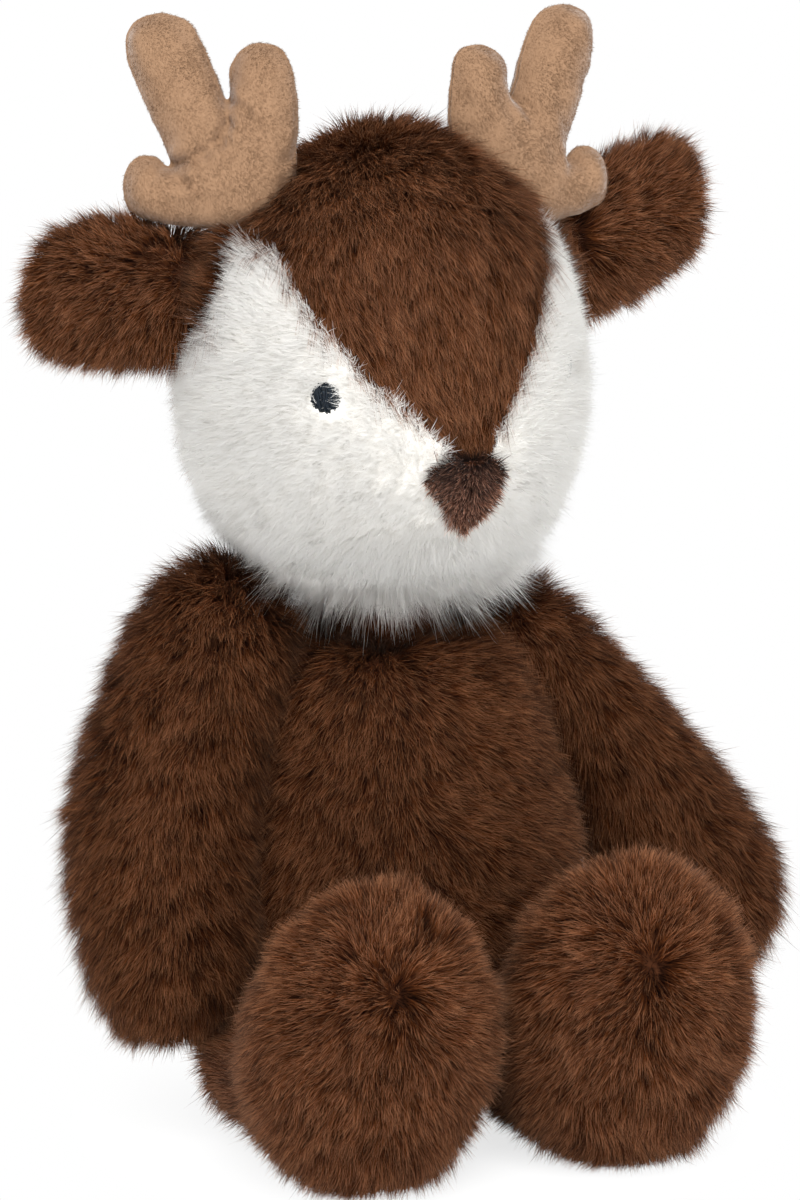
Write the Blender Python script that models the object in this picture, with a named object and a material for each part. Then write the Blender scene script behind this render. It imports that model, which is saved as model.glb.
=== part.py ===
"""Seated plush deer: long-pile panels over stuffing, velour antlers, and stitched eyes and nose.

Lengths are in metres and angles in degrees. +Z is up, the deer faces -Y, and its own left is +X. Each
panel's solid stands for the backing cloth with its laid pile, so its outer face is where the pile is thick.
A piece is built as a function of a depth: the same body shrunk by that depth on every side, its cuts as
well. A panel is the body less itself at one wall's depth, and its stuffing is the body a wall and a gap in.
"""

import math

import bmesh
import bpy
from mathutils import Matrix, Vector

# Cloth and clearances
SEAM_GAP = 0.0003
PLUSH_WALL = 0.005
VELOUR_WALL = 0.0015
FLAT_DEPTH = 0.0005
SOCKET_ROOM = 0.0006
WELD = 0.000002
OUTLINE_WELD = 0.00003
SHARP_EDGE_DEGREES = 40
BLOCK_SIZE = 0.9

# Torso: a pear that stands on its seat
SEAT_RISE = 0.015
SEAT_HALF_WIDTH = 0.0425
SEAT_HALF_DEPTH = 0.038
BELLY_RISE = 0.050
BELLY_HALF_WIDTH = 0.048
BELLY_HALF_DEPTH = 0.043
BELLY_FORWARD = 0.004
CHEST_RISE = 0.088
CHEST_HALF_WIDTH = 0.043
CHEST_HALF_DEPTH = 0.038
SHOULDER_RISE = 0.110
SHOULDER_HALF_WIDTH = 0.037
SHOULDER_HALF_DEPTH = 0.033
TORSO_TOP = 0.018
TORSO_SEAM_BACK = 0.012
SEAT_BLUNTNESS = 3.2
TORSO_TOP_BLUNTNESS = 2.1
PELLET_BAG_HALF_WIDTH = 0.027
PELLET_BAG_HALF_DEPTH = 0.013
PELLET_BAG_HALF_HEIGHT = 0.014
PELLET_BAG_BACK = 0.016
PELLET_BAG_MIDDLE_LENGTH = 0.003

# Neck plug, a ball of firm stuffing that the head turns and nods on
NECK_RADIUS = 0.016
NECK_RISE = 0.122

# Head: an egg with a low muzzle
HEAD_OVER_PLUG = 0.008
HEAD_FORWARD = 0.003
HEAD_HALF_WIDTH = 0.049
HEAD_HALF_DEPTH = 0.050
HEAD_HALF_HEIGHT = 0.060
HEAD_RISE = NECK_RISE + HEAD_HALF_HEIGHT + HEAD_OVER_PLUG
MUZZLE_REACH = 0.008
MUZZLE_DROP_DEGREES = 16
MUZZLE_SPREAD_DEGREES = 24
JOWL_SHARE = 0.05
JOWL_LEVEL_SHARE = -0.5
JOWL_SPREAD_SHARE = 0.35
HEAD_SEAM_BACK = 0.012
CROWN_CUT_BACK = 0.024

# The crown panel's edge, from the nose up: half its width and its height above the nose's top
CROWN_FOOT_HALF_WIDTH = 0.0085
CROWN_BROW_HALF_WIDTH = 0.018
CROWN_BROW_RISE = 0.019
CROWN_TEMPLE_HALF_WIDTH = 0.032
CROWN_TEMPLE_RISE = 0.039
CROWN_SIDE_HALF_WIDTH = 0.043
CROWN_SIDE_RISE = 0.047
CROWN_OUTER_RISE = 0.012

# Nose and eyes
NOSE_TOP_DROP = 0.011
NOSE_TOP_RISE = HEAD_RISE - NOSE_TOP_DROP
NOSE_HALF_WIDTH = 0.0092
NOSE_HEIGHT = 0.019
NOSE_SHOULDER_DROP = 0.004
NOSE_TIP_HALF_WIDTH = 0.003
NOSE_TIP_RISE = 0.0024
NOSE_PROUD = 0.0022
EYE_RADIUS = 0.004
EYE_PROUD = 0.0016
EYE_TURN_DEGREES = 40
EYE_RISE_DEGREES = 4

# Ears
EAR_ROOT_OUT = 0.044
EAR_ROOT_BACK = 0.006
EAR_OVER_HEAD_MIDDLE = 0.0175
EAR_ROOT_RISE = HEAD_RISE + EAR_OVER_HEAD_MIDDLE
EAR_ROOT_HALF_HEIGHT = 0.016
EAR_ROOT_HALF_THICKNESS = 0.0075
EAR_BROAD_OUT = 0.064
EAR_BROAD_HALF_HEIGHT = 0.0205
EAR_BROAD_HALF_THICKNESS = 0.009
EAR_END_OUT = 0.079
EAR_END_HALF_HEIGHT = 0.0185
EAR_END_HALF_THICKNESS = 0.008
EAR_TIP_LENGTH = 0.013
EAR_SWEEP_BACK = 0.011
EAR_LEFT_LIFT = 0.011
EAR_RIGHT_LIFT = 0.001
EAR_SWING_DEGREES = 18

# Antlers: two prongs from one stem and a short outer prong
ANTLER_OUT = 0.040
ANTLER_BACK = 0.000
ANTLER_LEFT_OVER_HEAD_MIDDLE = 0.0315
ANTLER_RIGHT_OVER_HEAD_MIDDLE = 0.037
ANTLER_LEAN_DEGREES = 13
ANTLER_YAW_DEGREES = 26
TALL_PRONG_FOOT_OUT = 0.0045
TALL_PRONG_FOOT_HALF_WIDTH = 0.0125
TALL_PRONG_MIDDLE_OUT = 0.0085
TALL_PRONG_MIDDLE_UP = 0.026
TALL_PRONG_HALF_WIDTH = 0.0115
TALL_PRONG_TIP_OUT = 0.015
TALL_PRONG_HEIGHT = 0.0455
TALL_PRONG_TIP_HALF_WIDTH = 0.009
INNER_PRONG_FOOT_IN = 0.0045
INNER_PRONG_FOOT_HALF_WIDTH = 0.0115
INNER_PRONG_MIDDLE_IN = 0.0075
INNER_PRONG_MIDDLE_UP = 0.020
INNER_PRONG_HALF_WIDTH = 0.0092
INNER_PRONG_TIP_IN = 0.008
INNER_PRONG_HEIGHT = 0.0395
INNER_PRONG_TIP_HALF_WIDTH = 0.0077
SIDE_PRONG_REACH = 0.0195
SIDE_PRONG_LEVEL = 0.0145
SIDE_PRONG_HALF_WIDTH = 0.0066
SIDE_PRONG_TIP_HALF_THICKNESS = 0.006
PRONG_TIP_THICKNESS_SHARE = 0.8
ANTLER_HALF_THICKNESS = 0.0078
ANTLER_FOOT_DEPTH = 0.006
ANTLER_OVER_EAR = 0.0012
ANTLER_BEND_DEGREES = 6

# Arms: a ball at the shoulder, a swollen forearm and a round paw; the left one hangs lower and wider
PAW_LENGTH = 0.021
ARM_RIGHT_HINGE_OUT = 0.045
ARM_RIGHT_HINGE_RISE = 0.122
ARM_RIGHT_BALL_RADIUS = 0.020
ARM_RIGHT_ELBOW_OUT = 0.0625
ARM_RIGHT_ELBOW_FORWARD = 0.010
ARM_RIGHT_ELBOW_RISE = 0.076
ARM_RIGHT_FOREARM_HALF_WIDTH = 0.0222
ARM_RIGHT_PAW_OUT = 0.066
ARM_RIGHT_PAW_FORWARD = 0.021
ARM_RIGHT_PAW_RISE = 0.048
ARM_RIGHT_PAW_HALF_WIDTH = 0.0205
ARM_LEFT_HINGE_OUT = 0.040
ARM_LEFT_HINGE_RISE = 0.113
ARM_LEFT_BALL_RADIUS = 0.015
ARM_LEFT_ELBOW_OUT = 0.0625
ARM_LEFT_ELBOW_FORWARD = 0.000
ARM_LEFT_ELBOW_RISE = 0.080
ARM_LEFT_FOREARM_HALF_WIDTH = 0.0175
ARM_LEFT_PAW_OUT = 0.0805
ARM_LEFT_PAW_FORWARD = 0.000
ARM_LEFT_PAW_RISE = 0.046
ARM_LEFT_PAW_HALF_WIDTH = 0.0205
ARM_LEFT_INWARD_DEGREES = 8

# Legs: a ball at the hip, a short shin and an upright foot
HIP_OUT = 0.0295
HIP_FORWARD = 0.024
HIP_RISE = 0.0235
HIP_RADIUS = 0.022
KNEE_OUT = 0.030
KNEE_FORWARD = 0.046
KNEE_HALF_WIDTH = 0.0205
ANKLE_OUT = 0.033
ANKLE_FORWARD = 0.060
ANKLE_HALF_WIDTH = 0.025
ANKLE_HALF_HEIGHT = 0.028
FOOT_OUT = 0.034
FOOT_FORWARD = 0.078
FOOT_HALF_WIDTH = 0.0325
FOOT_HALF_HEIGHT = 0.041
SOLE_LENGTH = 0.024
LEG_LIFT_DEGREES = 8

# Tail
TAIL_RISE = 0.036
TAIL_TIP_BACK = 0.016
TAIL_TIP_UP = 0.012
TAIL_HALF_WIDTH = 0.011
TAIL_TIP_HALF_WIDTH = 0.009
TAIL_HALF_THICKNESS = 0.0075
TAIL_ROOT_INSIDE = 0.006
TAIL_TIP_LENGTH = 0.010
TAIL_SWING_DEGREES = 12

# Facets
TORSO_SIDES = 20
LIMB_SIDES = 14
PRONG_SIDES = 10
SMALL_SIDES = 12
HEAD_SIDES = 24
HEAD_RINGS = 13
BALL_SIDES = 16
BALL_RINGS = 8

PLUSH_BROWN = (0.070, 0.024, 0.009, 1)
PLUSH_WHITE = (0.780, 0.760, 0.700, 1)
VELOUR_TAN = (0.430, 0.240, 0.140, 1)
NOSE_BROWN = (0.065, 0.030, 0.017, 1)
EYE_BLUE_BLACK = (0.010, 0.013, 0.022, 1)
STUFFING_WHITE = (0.800, 0.800, 0.780, 1)
PELLET_BAG_GREY = (0.450, 0.440, 0.420, 1)
CLOTH_ROUGHNESS = 0.9


def clear_scene():
    for old in list(bpy.data.objects):
        bpy.data.objects.remove(old)


def new_collection(name, hidden=False):
    made = bpy.data.collections.new(name)
    made.hide_render = hidden
    bpy.context.scene.collection.children.link(made)
    return made


clear_scene()
DEER = new_collection("plush_deer")
CUTTERS = new_collection("deer_cutters", hidden=True)


def cloth(name, colour):
    material = bpy.data.materials.new(name)
    material.use_nodes = True
    shader = material.node_tree.nodes["Principled BSDF"]
    shader.inputs["Base Color"].default_value = colour
    shader.inputs["Roughness"].default_value = CLOTH_ROUGHNESS
    shader.inputs["Metallic"].default_value = 0
    return material


BROWN = cloth("brown_plush", PLUSH_BROWN)
WHITE = cloth("white_plush", PLUSH_WHITE)
TAN = cloth("tan_velour", VELOUR_TAN)
NOSE_PILE = cloth("nose_pile", NOSE_BROWN)
EYE_THREAD = cloth("eye_thread", EYE_BLUE_BLACK)
FILLING = cloth("stuffing", STUFFING_WHITE)
PELLET_CLOTH = cloth("pellet_cloth", PELLET_BAG_GREY)


def boolean(body, cutter, operation):
    step = body.modifiers.new(f"{operation.lower()}_{cutter.name}", "BOOLEAN")
    step.operation = operation
    step.solver = "EXACT"
    step.object = cutter
    return body


def cut(body, *cutters):
    for cutter in cutters:
        boolean(body, cutter, "DIFFERENCE")
    return body


def evaluated_shape(body):
    """The body's mesh with its modifiers and place worked in, and slivers closed up."""
    graph = bpy.context.evaluated_depsgraph_get()
    mesh = bpy.data.meshes.new_from_object(body.evaluated_get(graph))
    shape = bmesh.new()
    shape.from_mesh(mesh)
    bpy.data.meshes.remove(mesh)
    bmesh.ops.transform(shape, matrix=body.matrix_world, verts=shape.verts)
    bmesh.ops.remove_doubles(shape, verts=shape.verts, dist=WELD)
    bmesh.ops.dissolve_degenerate(shape, edges=shape.edges, dist=WELD)
    return shape


def as_helper(name, shape):
    """A cutter or a body to cut from: kept out of the render, and drawn as wires."""
    mesh = bpy.data.meshes.new(name)
    shape.to_mesh(mesh)
    shape.free()
    made = bpy.data.objects.new(name, mesh)
    made.hide_render = True
    made.display_type = "WIRE"
    CUTTERS.objects.link(made)
    return made


def helper(name, shape):
    """A closed form of triangles, split alike at every depth, its faces turned outwards."""
    bmesh.ops.recalc_face_normals(shape, faces=shape.faces)
    bmesh.ops.triangulate(shape, faces=shape.faces, quad_method="FIXED")
    return as_helper(name, shape)


def settled(body):
    """The body with its modifiers worked into its mesh, still a helper."""
    return as_helper(f"{body.name}_settled", evaluated_shape(body))


def mirrored(body):
    """The same body on the deer's other side."""
    shape = evaluated_shape(body)
    bmesh.ops.transform(shape, matrix=Matrix.Diagonal((-1, 1, 1, 1)), verts=shape.verts)
    bmesh.ops.reverse_faces(shape, faces=shape.faces)
    return as_helper(f"{body.name}_mirrored", shape)


def copy_of(body, name="copy"):
    made = bpy.data.objects.new(f"{body.name}_{name}", body.data)
    made.matrix_world = body.matrix_world
    made.hide_render = True
    made.display_type = "WIRE"
    CUTTERS.objects.link(made)
    return made


def turned(body, pivot, axis, degrees):
    """A copy of a helper, turned about an axis through the pivot."""
    turn = Matrix.Translation(pivot) @ Matrix.Rotation(math.radians(degrees), 4, axis)
    made = copy_of(body, "turned")
    made.matrix_world = turn @ Matrix.Translation(-pivot) @ body.matrix_world
    return made


def away_from(point, normal):
    """A block that takes away all that lies beyond a plane, and half a seam's gap more."""
    shape = bmesh.new()
    bmesh.ops.create_cube(shape, size=BLOCK_SIZE)
    direction = Vector(normal).normalized()
    centre = Vector(point) + direction * ((BLOCK_SIZE - SEAM_GAP) / 2)
    facing = direction.to_track_quat("Z", "Y").to_matrix().to_4x4()
    bmesh.ops.transform(shape, matrix=Matrix.Translation(centre) @ facing, verts=shape.verts)
    return helper("seam_block", shape)


def ball(centre, radius, name="ball"):
    shape = bmesh.new()
    bmesh.ops.create_uvsphere(
        shape, u_segments=BALL_SIDES, v_segments=BALL_RINGS, radius=radius
    )
    bmesh.ops.translate(shape, vec=centre, verts=shape.verts)
    return helper(name, shape)


def smooth_run(stations, steps):
    """Points on a smooth curve through the stations, which hold a centre and two half sizes each."""
    first = [2 * a - b for a, b in zip(stations[0], stations[1])]
    last = [2 * a - b for a, b in zip(stations[-1], stations[-2])]
    run = [first, *stations, last]
    found = []
    for index in range(1, len(run) - 2):
        before, start, end, after = run[index - 1 : index + 3]
        for step in range(steps):
            t = step / steps
            found.append(
                [
                    0.5 * (2 * b + (c - a) * t + (2 * a - 5 * b + 4 * c - d) * t**2
                           + (3 * b - a - 3 * c + d) * t**3)
                    for a, b, c, d in zip(before, start, end, after)
                ]
            )
    return [*found, list(stations[-1])]


def ring_of(centre, side, other, half_side, half_other, sides):
    ring = []
    for index in range(sides):
        angle = 2 * math.pi * (index + 0.5) / sides
        ring.append(
            centre + side * (half_side * math.cos(angle)) + other * (half_other * math.sin(angle))
        )
    return ring


def stuffed(name, stations, side_hint, start_length, end_length, depth=0,
            sides=LIMB_SIDES, steps=2, cap_rings=3, start_blunt=2, end_blunt=2, facing=None):
    """A loft through unlike oval sections with rounded ends, every side moved in by the depth.

    The sections stand square to the spine, or all alike where they have one facing.
    """
    run = smooth_run(stations, steps)
    centres = [Vector(row[:3]) for row in run]
    rings = []
    frames = []
    for index, row in enumerate(run):
        ahead = centres[min(index + 1, len(run) - 1)]
        behind = centres[max(index - 1, 0)]
        along = facing or (ahead - behind).normalized()
        side = (side_hint - along * side_hint.dot(along)).normalized()
        frames.append((centres[index], along, side, along.cross(side), row[3], row[4]))
    turns = [math.radians(90) * step / cap_rings for step in range(1, cap_rings)]

    def cap(frame, length, direction, power):
        centre, along, side, other, half_side, half_other = frame
        found = []
        for turn in turns:
            reach = (length - depth) * math.cos(turn) ** power
            spread = math.sin(turn) ** power
            found.append(
                ring_of(centre + along * (direction * reach), side, other,
                        (half_side - depth) * spread, (half_other - depth) * spread, sides)
            )
        return found, centre + along * (direction * (length - depth))

    start_rings, start_pole = cap(frames[0], start_length, -1, 2 / start_blunt)
    end_rings, end_pole = cap(frames[-1], end_length, 1, 2 / end_blunt)
    rings += start_rings
    for centre, along, side, other, half_side, half_other in frames:
        rings.append(ring_of(centre, side, other, half_side - depth, half_other - depth, sides))
    rings += reversed(end_rings)

    shape = bmesh.new()
    rows = [[shape.verts.new(point) for point in ring] for ring in rings]
    for row, following in zip(rows, rows[1:]):
        for index in range(sides):
            after = (index + 1) % sides
            shape.faces.new((row[index], row[after], following[after], following[index]))
    for row, pole in ((rows[0], start_pole), (rows[-1], end_pole)):
        tip = shape.verts.new(pole)
        for index in range(sides):
            shape.faces.new((row[index], row[(index + 1) % sides], tip))
    return helper(name, shape)


def piece(name, body, material, parent=None):
    """Turns a helper into one of the deer's own pieces, hung on its joint's empty."""
    mesh = bpy.data.meshes.new(name)
    shape = evaluated_shape(body)
    shape.to_mesh(mesh)
    shape.free()
    mesh.materials.append(material)
    mesh.shade_smooth()
    mesh.set_sharp_from_angle(angle=math.radians(SHARP_EDGE_DEGREES))
    made = bpy.data.objects.new(name, mesh)
    DEER.objects.link(made)
    if parent:
        made.parent = parent
        made.matrix_parent_inverse = parent.matrix_world.inverted()
    return made


def pair(name, body, material, axes):
    """A piece on the deer's left, and its mirror image on the right, each on its own axis."""
    piece(name.format("left"), body, material, axes[0])
    piece(name.format("right"), mirrored(body), material, axes[1])


def hinge(name, place, parent=None):
    """An empty on a joint's axis."""
    made = bpy.data.objects.new(name, None)
    made.empty_display_size = HIP_RADIUS
    made.matrix_world = Matrix.Translation(place)
    DEER.objects.link(made)
    if parent:
        made.parent = parent
        made.matrix_parent_inverse = parent.matrix_world.inverted()
    return made


def hinge_pair(name, place, parent=None):
    other = Vector((-place.x, place.y, place.z))
    return hinge(name.format("left"), place, parent), hinge(name.format("right"), other, parent)


def shell(solid_at, wall):
    """A body less itself one wall in, so only the wall is left."""
    return settled(cut(solid_at(0), solid_at(wall)))


# Places that pieces share
SIDE = Vector((1, 0, 0))
BACK = Vector((0, 1, 0))
UP = Vector((0, 0, 1))
NECK = Vector((0, 0, NECK_RISE))
HEAD_CENTRE = Vector((0, -HEAD_FORWARD, HEAD_RISE))
HIP = Vector((HIP_OUT, -HIP_FORWARD, HIP_RISE))


def shoulder(sign):
    if sign > 0:
        return Vector((ARM_LEFT_HINGE_OUT, 0, ARM_LEFT_HINGE_RISE))
    return Vector((-ARM_RIGHT_HINGE_OUT, 0, ARM_RIGHT_HINGE_RISE))


def shoulder_radius(sign):
    return ARM_LEFT_BALL_RADIUS if sign > 0 else ARM_RIGHT_BALL_RADIUS


# Torso


def torso_form(depth):
    stations = (
        (0, 0, SEAT_RISE, SEAT_HALF_WIDTH, SEAT_HALF_DEPTH),
        (0, -BELLY_FORWARD, BELLY_RISE, BELLY_HALF_WIDTH, BELLY_HALF_DEPTH),
        (0, 0, CHEST_RISE, CHEST_HALF_WIDTH, CHEST_HALF_DEPTH),
        (0, 0, SHOULDER_RISE, SHOULDER_HALF_WIDTH, SHOULDER_HALF_DEPTH),
    )
    return stuffed("torso_form", stations, SIDE, SEAT_RISE + FLAT_DEPTH, TORSO_TOP, depth,
                   sides=TORSO_SIDES, start_blunt=SEAT_BLUNTNESS, end_blunt=TORSO_TOP_BLUNTNESS,
                   facing=UP)


def leg_form(depth):
    """The deer's left leg; its right one is the mirror image."""
    stations = (
        (HIP_OUT, -HIP_FORWARD, HIP_RISE, HIP_RADIUS, HIP_RADIUS),
        (KNEE_OUT, -KNEE_FORWARD, KNEE_HALF_WIDTH + FLAT_DEPTH, KNEE_HALF_WIDTH, KNEE_HALF_WIDTH),
        (ANKLE_OUT, -ANKLE_FORWARD, ANKLE_HALF_HEIGHT + FLAT_DEPTH,
         ANKLE_HALF_WIDTH, ANKLE_HALF_HEIGHT),
        (FOOT_OUT, -FOOT_FORWARD, FOOT_HALF_HEIGHT - FLAT_DEPTH, FOOT_HALF_WIDTH, FOOT_HALF_HEIGHT),
    )
    return stuffed("leg_form", stations, SIDE, HIP_RADIUS, SOLE_LENGTH, depth,
                   cap_rings=4, facing=-BACK)


def thigh_room(room):
    """The way that a thigh takes through the front of the torso, with the height that it lifts."""
    rise = (KNEE_FORWARD - HIP_FORWARD) * math.sin(math.radians(LEG_LIFT_DEGREES)) / 2
    stations = (
        (HIP_OUT, -HIP_FORWARD, HIP_RISE, HIP_RADIUS, HIP_RADIUS),
        (KNEE_OUT, -KNEE_FORWARD, HIP_RISE + rise, KNEE_HALF_WIDTH, HIP_RADIUS + rise),
    )
    return stuffed("thigh_room", stations, SIDE, HIP_RADIUS, HIP_RADIUS, -room - SOCKET_ROOM,
                   steps=1, cap_rings=4, facing=-BACK)


def thigh_drop_room(room):
    """The torso's lower front corner, which a leg passes through as it drops."""
    grow = room + SOCKET_ROOM
    shape = bmesh.new()
    bmesh.ops.create_cube(shape, size=1)
    width = 2 * (HIP_RADIUS + grow)
    long = 2 * KNEE_FORWARD
    back_face = -HIP_FORWARD + KNEE_HALF_WIDTH + grow
    place = Vector((HIP_OUT, back_face - long / 2, HIP_RISE - long / 2))
    move = Matrix.Translation(place) @ Matrix.Diagonal((width, long, long, 1))
    bmesh.ops.transform(shape, matrix=move, verts=shape.verts)
    return helper("thigh_drop_room", shape)


def torso_at(depth):
    body = torso_form(depth)
    room = SEAM_GAP + depth
    cut(body, ball(NECK, NECK_RADIUS + room + SOCKET_ROOM))
    for sign in (-1, 1):
        cut(body, ball(shoulder(sign), shoulder_radius(sign) + room + SOCKET_ROOM))
    for way in (thigh_room(room), thigh_drop_room(room)):
        cut(body, way, mirrored(way))
    return body


def under_floor():
    return away_from((0, 0, -SEAM_GAP / 2), -UP)


def pellet_bag_form(depth):
    rest = PLUSH_WALL + SEAM_GAP
    middle = PELLET_BAG_HALF_HEIGHT
    stations = (
        (0, PELLET_BAG_BACK, rest + middle, PELLET_BAG_HALF_WIDTH, PELLET_BAG_HALF_DEPTH),
        (0, PELLET_BAG_BACK, rest + middle + PELLET_BAG_MIDDLE_LENGTH, PELLET_BAG_HALF_WIDTH,
         PELLET_BAG_HALF_DEPTH),
    )
    return stuffed("pellet_bag_form", stations, SIDE, middle, middle, depth,
                   sides=SMALL_SIDES, steps=1)


def make_torso(root):
    wall = shell(torso_at, PLUSH_WALL)
    cut(wall, under_floor())
    wall = settled(wall)
    seam = (0, TORSO_SEAM_BACK, 0)
    piece("chest_panel", cut(copy_of(wall), away_from(seam, BACK)), BROWN, root)
    piece("back_panel", cut(copy_of(wall), away_from(seam, -BACK)), BROWN, root)
    stuffing = cut(torso_at(PLUSH_WALL + SEAM_GAP), pellet_bag_form(-SEAM_GAP))
    piece("torso_stuffing", stuffing, FILLING, root)
    bag = boolean(pellet_bag_form(0), torso_form(PLUSH_WALL + SEAM_GAP), "INTERSECT")
    piece("pellet_bag", bag, PELLET_CLOTH, root)


# Neck plug


def make_neck(neck):
    piece("neck_plug", ball(NECK, NECK_RADIUS), FILLING, neck)


# Head


def muzzle_direction():
    drop = math.radians(MUZZLE_DROP_DEGREES)
    return Vector((0, -math.cos(drop), -math.sin(drop)))


def head_surface(direction, depth=0):
    """The head's surface in a direction from its centre: an egg, fuller at the jowls, with a muzzle."""
    jowl = JOWL_SHARE * math.exp(
        -(((direction.z - JOWL_LEVEL_SHARE) / JOWL_SPREAD_SHARE) ** 2)
    )
    place = Vector(
        (
            direction.x * (HEAD_HALF_WIDTH - depth) * (1 + jowl),
            direction.y * (HEAD_HALF_DEPTH - depth) * (1 + jowl),
            direction.z * (HEAD_HALF_HEIGHT - depth),
        )
    )
    muzzle = muzzle_direction()
    off = math.degrees(direction.angle(muzzle)) / MUZZLE_SPREAD_DEGREES
    return HEAD_CENTRE + place + muzzle * (MUZZLE_REACH * math.exp(-(off**2)))


def head_form(depth):
    shape = bmesh.new()
    bmesh.ops.create_uvsphere(shape, u_segments=HEAD_SIDES, v_segments=HEAD_RINGS, radius=1)
    for vertex in shape.verts:
        vertex.co = head_surface(vertex.co.normalized(), depth)
    return helper("head_form", shape)


def head_at(depth):
    return cut(head_form(depth), ball(NECK, NECK_RADIUS + SEAM_GAP + SOCKET_ROOM + depth))


def front_prism(name, outline, front, back, grow=0):
    """A closed outline in the front view, as wide steps of X and Z, run from front to back."""
    curve = bpy.data.curves.new(name, "CURVE")
    curve.dimensions = "2D"
    curve.fill_mode = "BOTH"
    curve.extrude = (back - front) / 2
    curve.offset = grow
    line = curve.splines.new("POLY")
    line.points.add(len(outline) - 1)
    line.use_cyclic_u = True
    for point, (across, rise) in zip(line.points, outline):
        point.co = (across, rise, 0, 1)
    made = bpy.data.objects.new(name, curve)
    made.rotation_euler = (math.radians(90), 0, 0)
    made.location = (0, (front + back) / 2, 0)
    CUTTERS.objects.link(made)
    bpy.context.view_layer.update()
    graph = bpy.context.evaluated_depsgraph_get()
    mesh = bpy.data.meshes.new_from_object(made.evaluated_get(graph))
    mesh.transform(made.matrix_world)
    bpy.data.objects.remove(made)
    shape = bmesh.new()
    shape.from_mesh(mesh)
    bmesh.ops.remove_doubles(shape, verts=shape.verts, dist=OUTLINE_WELD)
    return helper(name, shape)


def crown_outline():
    """The crown panel's edge: narrow above the nose, then flaring to the antlers and past them."""
    edge = (
        (CROWN_FOOT_HALF_WIDTH, 0),
        (CROWN_BROW_HALF_WIDTH, CROWN_BROW_RISE),
        (CROWN_TEMPLE_HALF_WIDTH, CROWN_TEMPLE_RISE),
        (CROWN_SIDE_HALF_WIDTH, CROWN_SIDE_RISE),
        (2 * HEAD_HALF_WIDTH, CROWN_SIDE_RISE + CROWN_OUTER_RISE),
        (2 * HEAD_HALF_WIDTH, 2 * HEAD_HALF_HEIGHT),
    )
    right = [(-across, NOSE_TOP_RISE + rise) for across, rise in reversed(edge)]
    left = [(across, NOSE_TOP_RISE + rise) for across, rise in edge]
    return left + right


def nose_outline():
    shoulder_rise = NOSE_TOP_RISE - NOSE_SHOULDER_DROP
    tip_rise = NOSE_TOP_RISE - NOSE_HEIGHT
    return (
        (0, tip_rise),
        (NOSE_TIP_HALF_WIDTH, tip_rise + NOSE_TIP_RISE),
        (NOSE_HALF_WIDTH, shoulder_rise - NOSE_SHOULDER_DROP / 2),
        (NOSE_HALF_WIDTH, shoulder_rise),
        (NOSE_HALF_WIDTH / 2, NOSE_TOP_RISE),
        (-NOSE_HALF_WIDTH / 2, NOSE_TOP_RISE),
        (-NOSE_HALF_WIDTH, shoulder_rise),
        (-NOSE_HALF_WIDTH, shoulder_rise - NOSE_SHOULDER_DROP / 2),
        (-NOSE_TIP_HALF_WIDTH, tip_rise + NOSE_TIP_RISE),
    )


def make_head_panels(head):
    wall = shell(head_at, PLUSH_WALL)
    seam = (0, HEAD_SEAM_BACK, 0)
    face = settled(cut(copy_of(wall), away_from(seam, BACK)))
    front = -HEAD_FORWARD - 2 * HEAD_HALF_DEPTH
    crown_prism = front_prism("crown_prism", crown_outline(), front, CROWN_CUT_BACK)
    wide_prism = front_prism(
        "crown_prism_wide", crown_outline(), front, CROWN_CUT_BACK, SEAM_GAP
    )
    crown = boolean(copy_of(face), crown_prism, "INTERSECT")
    piece("crown_panel", crown, BROWN, head)
    cheeks = settled(cut(copy_of(face), wide_prism))
    for sign, name in ((1, "left"), (-1, "right")):
        half = cut(copy_of(cheeks), away_from((0, 0, 0), -sign * SIDE))
        piece(f"cheek_panel_{name}", half, WHITE, head)
    piece("head_back_panel", cut(copy_of(wall), away_from(seam, -BACK)), BROWN, head)
    piece("head_stuffing", head_at(PLUSH_WALL + SEAM_GAP), FILLING, head)


def make_nose(head):
    front = -HEAD_FORWARD - 2 * HEAD_HALF_DEPTH
    pad = head_form(-NOSE_PROUD)
    boolean(pad, front_prism("nose_prism", nose_outline(), front, 0), "INTERSECT")
    piece("nose_patch", cut(pad, head_form(-SEAM_GAP)), NOSE_PILE, head)


def eye_direction(sign):
    turn = math.radians(EYE_TURN_DEGREES)
    rise = math.radians(EYE_RISE_DEGREES)
    return Vector(
        (sign * math.sin(turn) * math.cos(rise), -math.cos(turn) * math.cos(rise), math.sin(rise))
    )


def make_eyes(head):
    skin = head_form(-SEAM_GAP)
    for sign, name in ((1, "left"), (-1, "right")):
        place = head_surface(eye_direction(sign))
        outward = (place - HEAD_CENTRE).normalized()
        shape = bmesh.new()
        bmesh.ops.create_uvsphere(
            shape, u_segments=SMALL_SIDES, v_segments=SMALL_SIDES // 2, radius=1
        )
        size = Matrix.Diagonal((EYE_RADIUS, EYE_RADIUS, EYE_PROUD, 1))
        facing = outward.to_track_quat("Z", "Y").to_matrix().to_4x4()
        move = Matrix.Translation(place + outward * SEAM_GAP) @ facing @ size
        bmesh.ops.transform(shape, matrix=move, verts=shape.verts)
        piece(f"eye_{name}", cut(helper("eye_form", shape), skin), EYE_THREAD, head)


# Ears


EAR_ROOT = Vector((EAR_ROOT_OUT, EAR_ROOT_BACK, EAR_ROOT_RISE))


def ear_end(lift):
    return Vector((EAR_END_OUT, EAR_ROOT_BACK + EAR_SWEEP_BACK, EAR_ROOT_RISE + lift))


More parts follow.
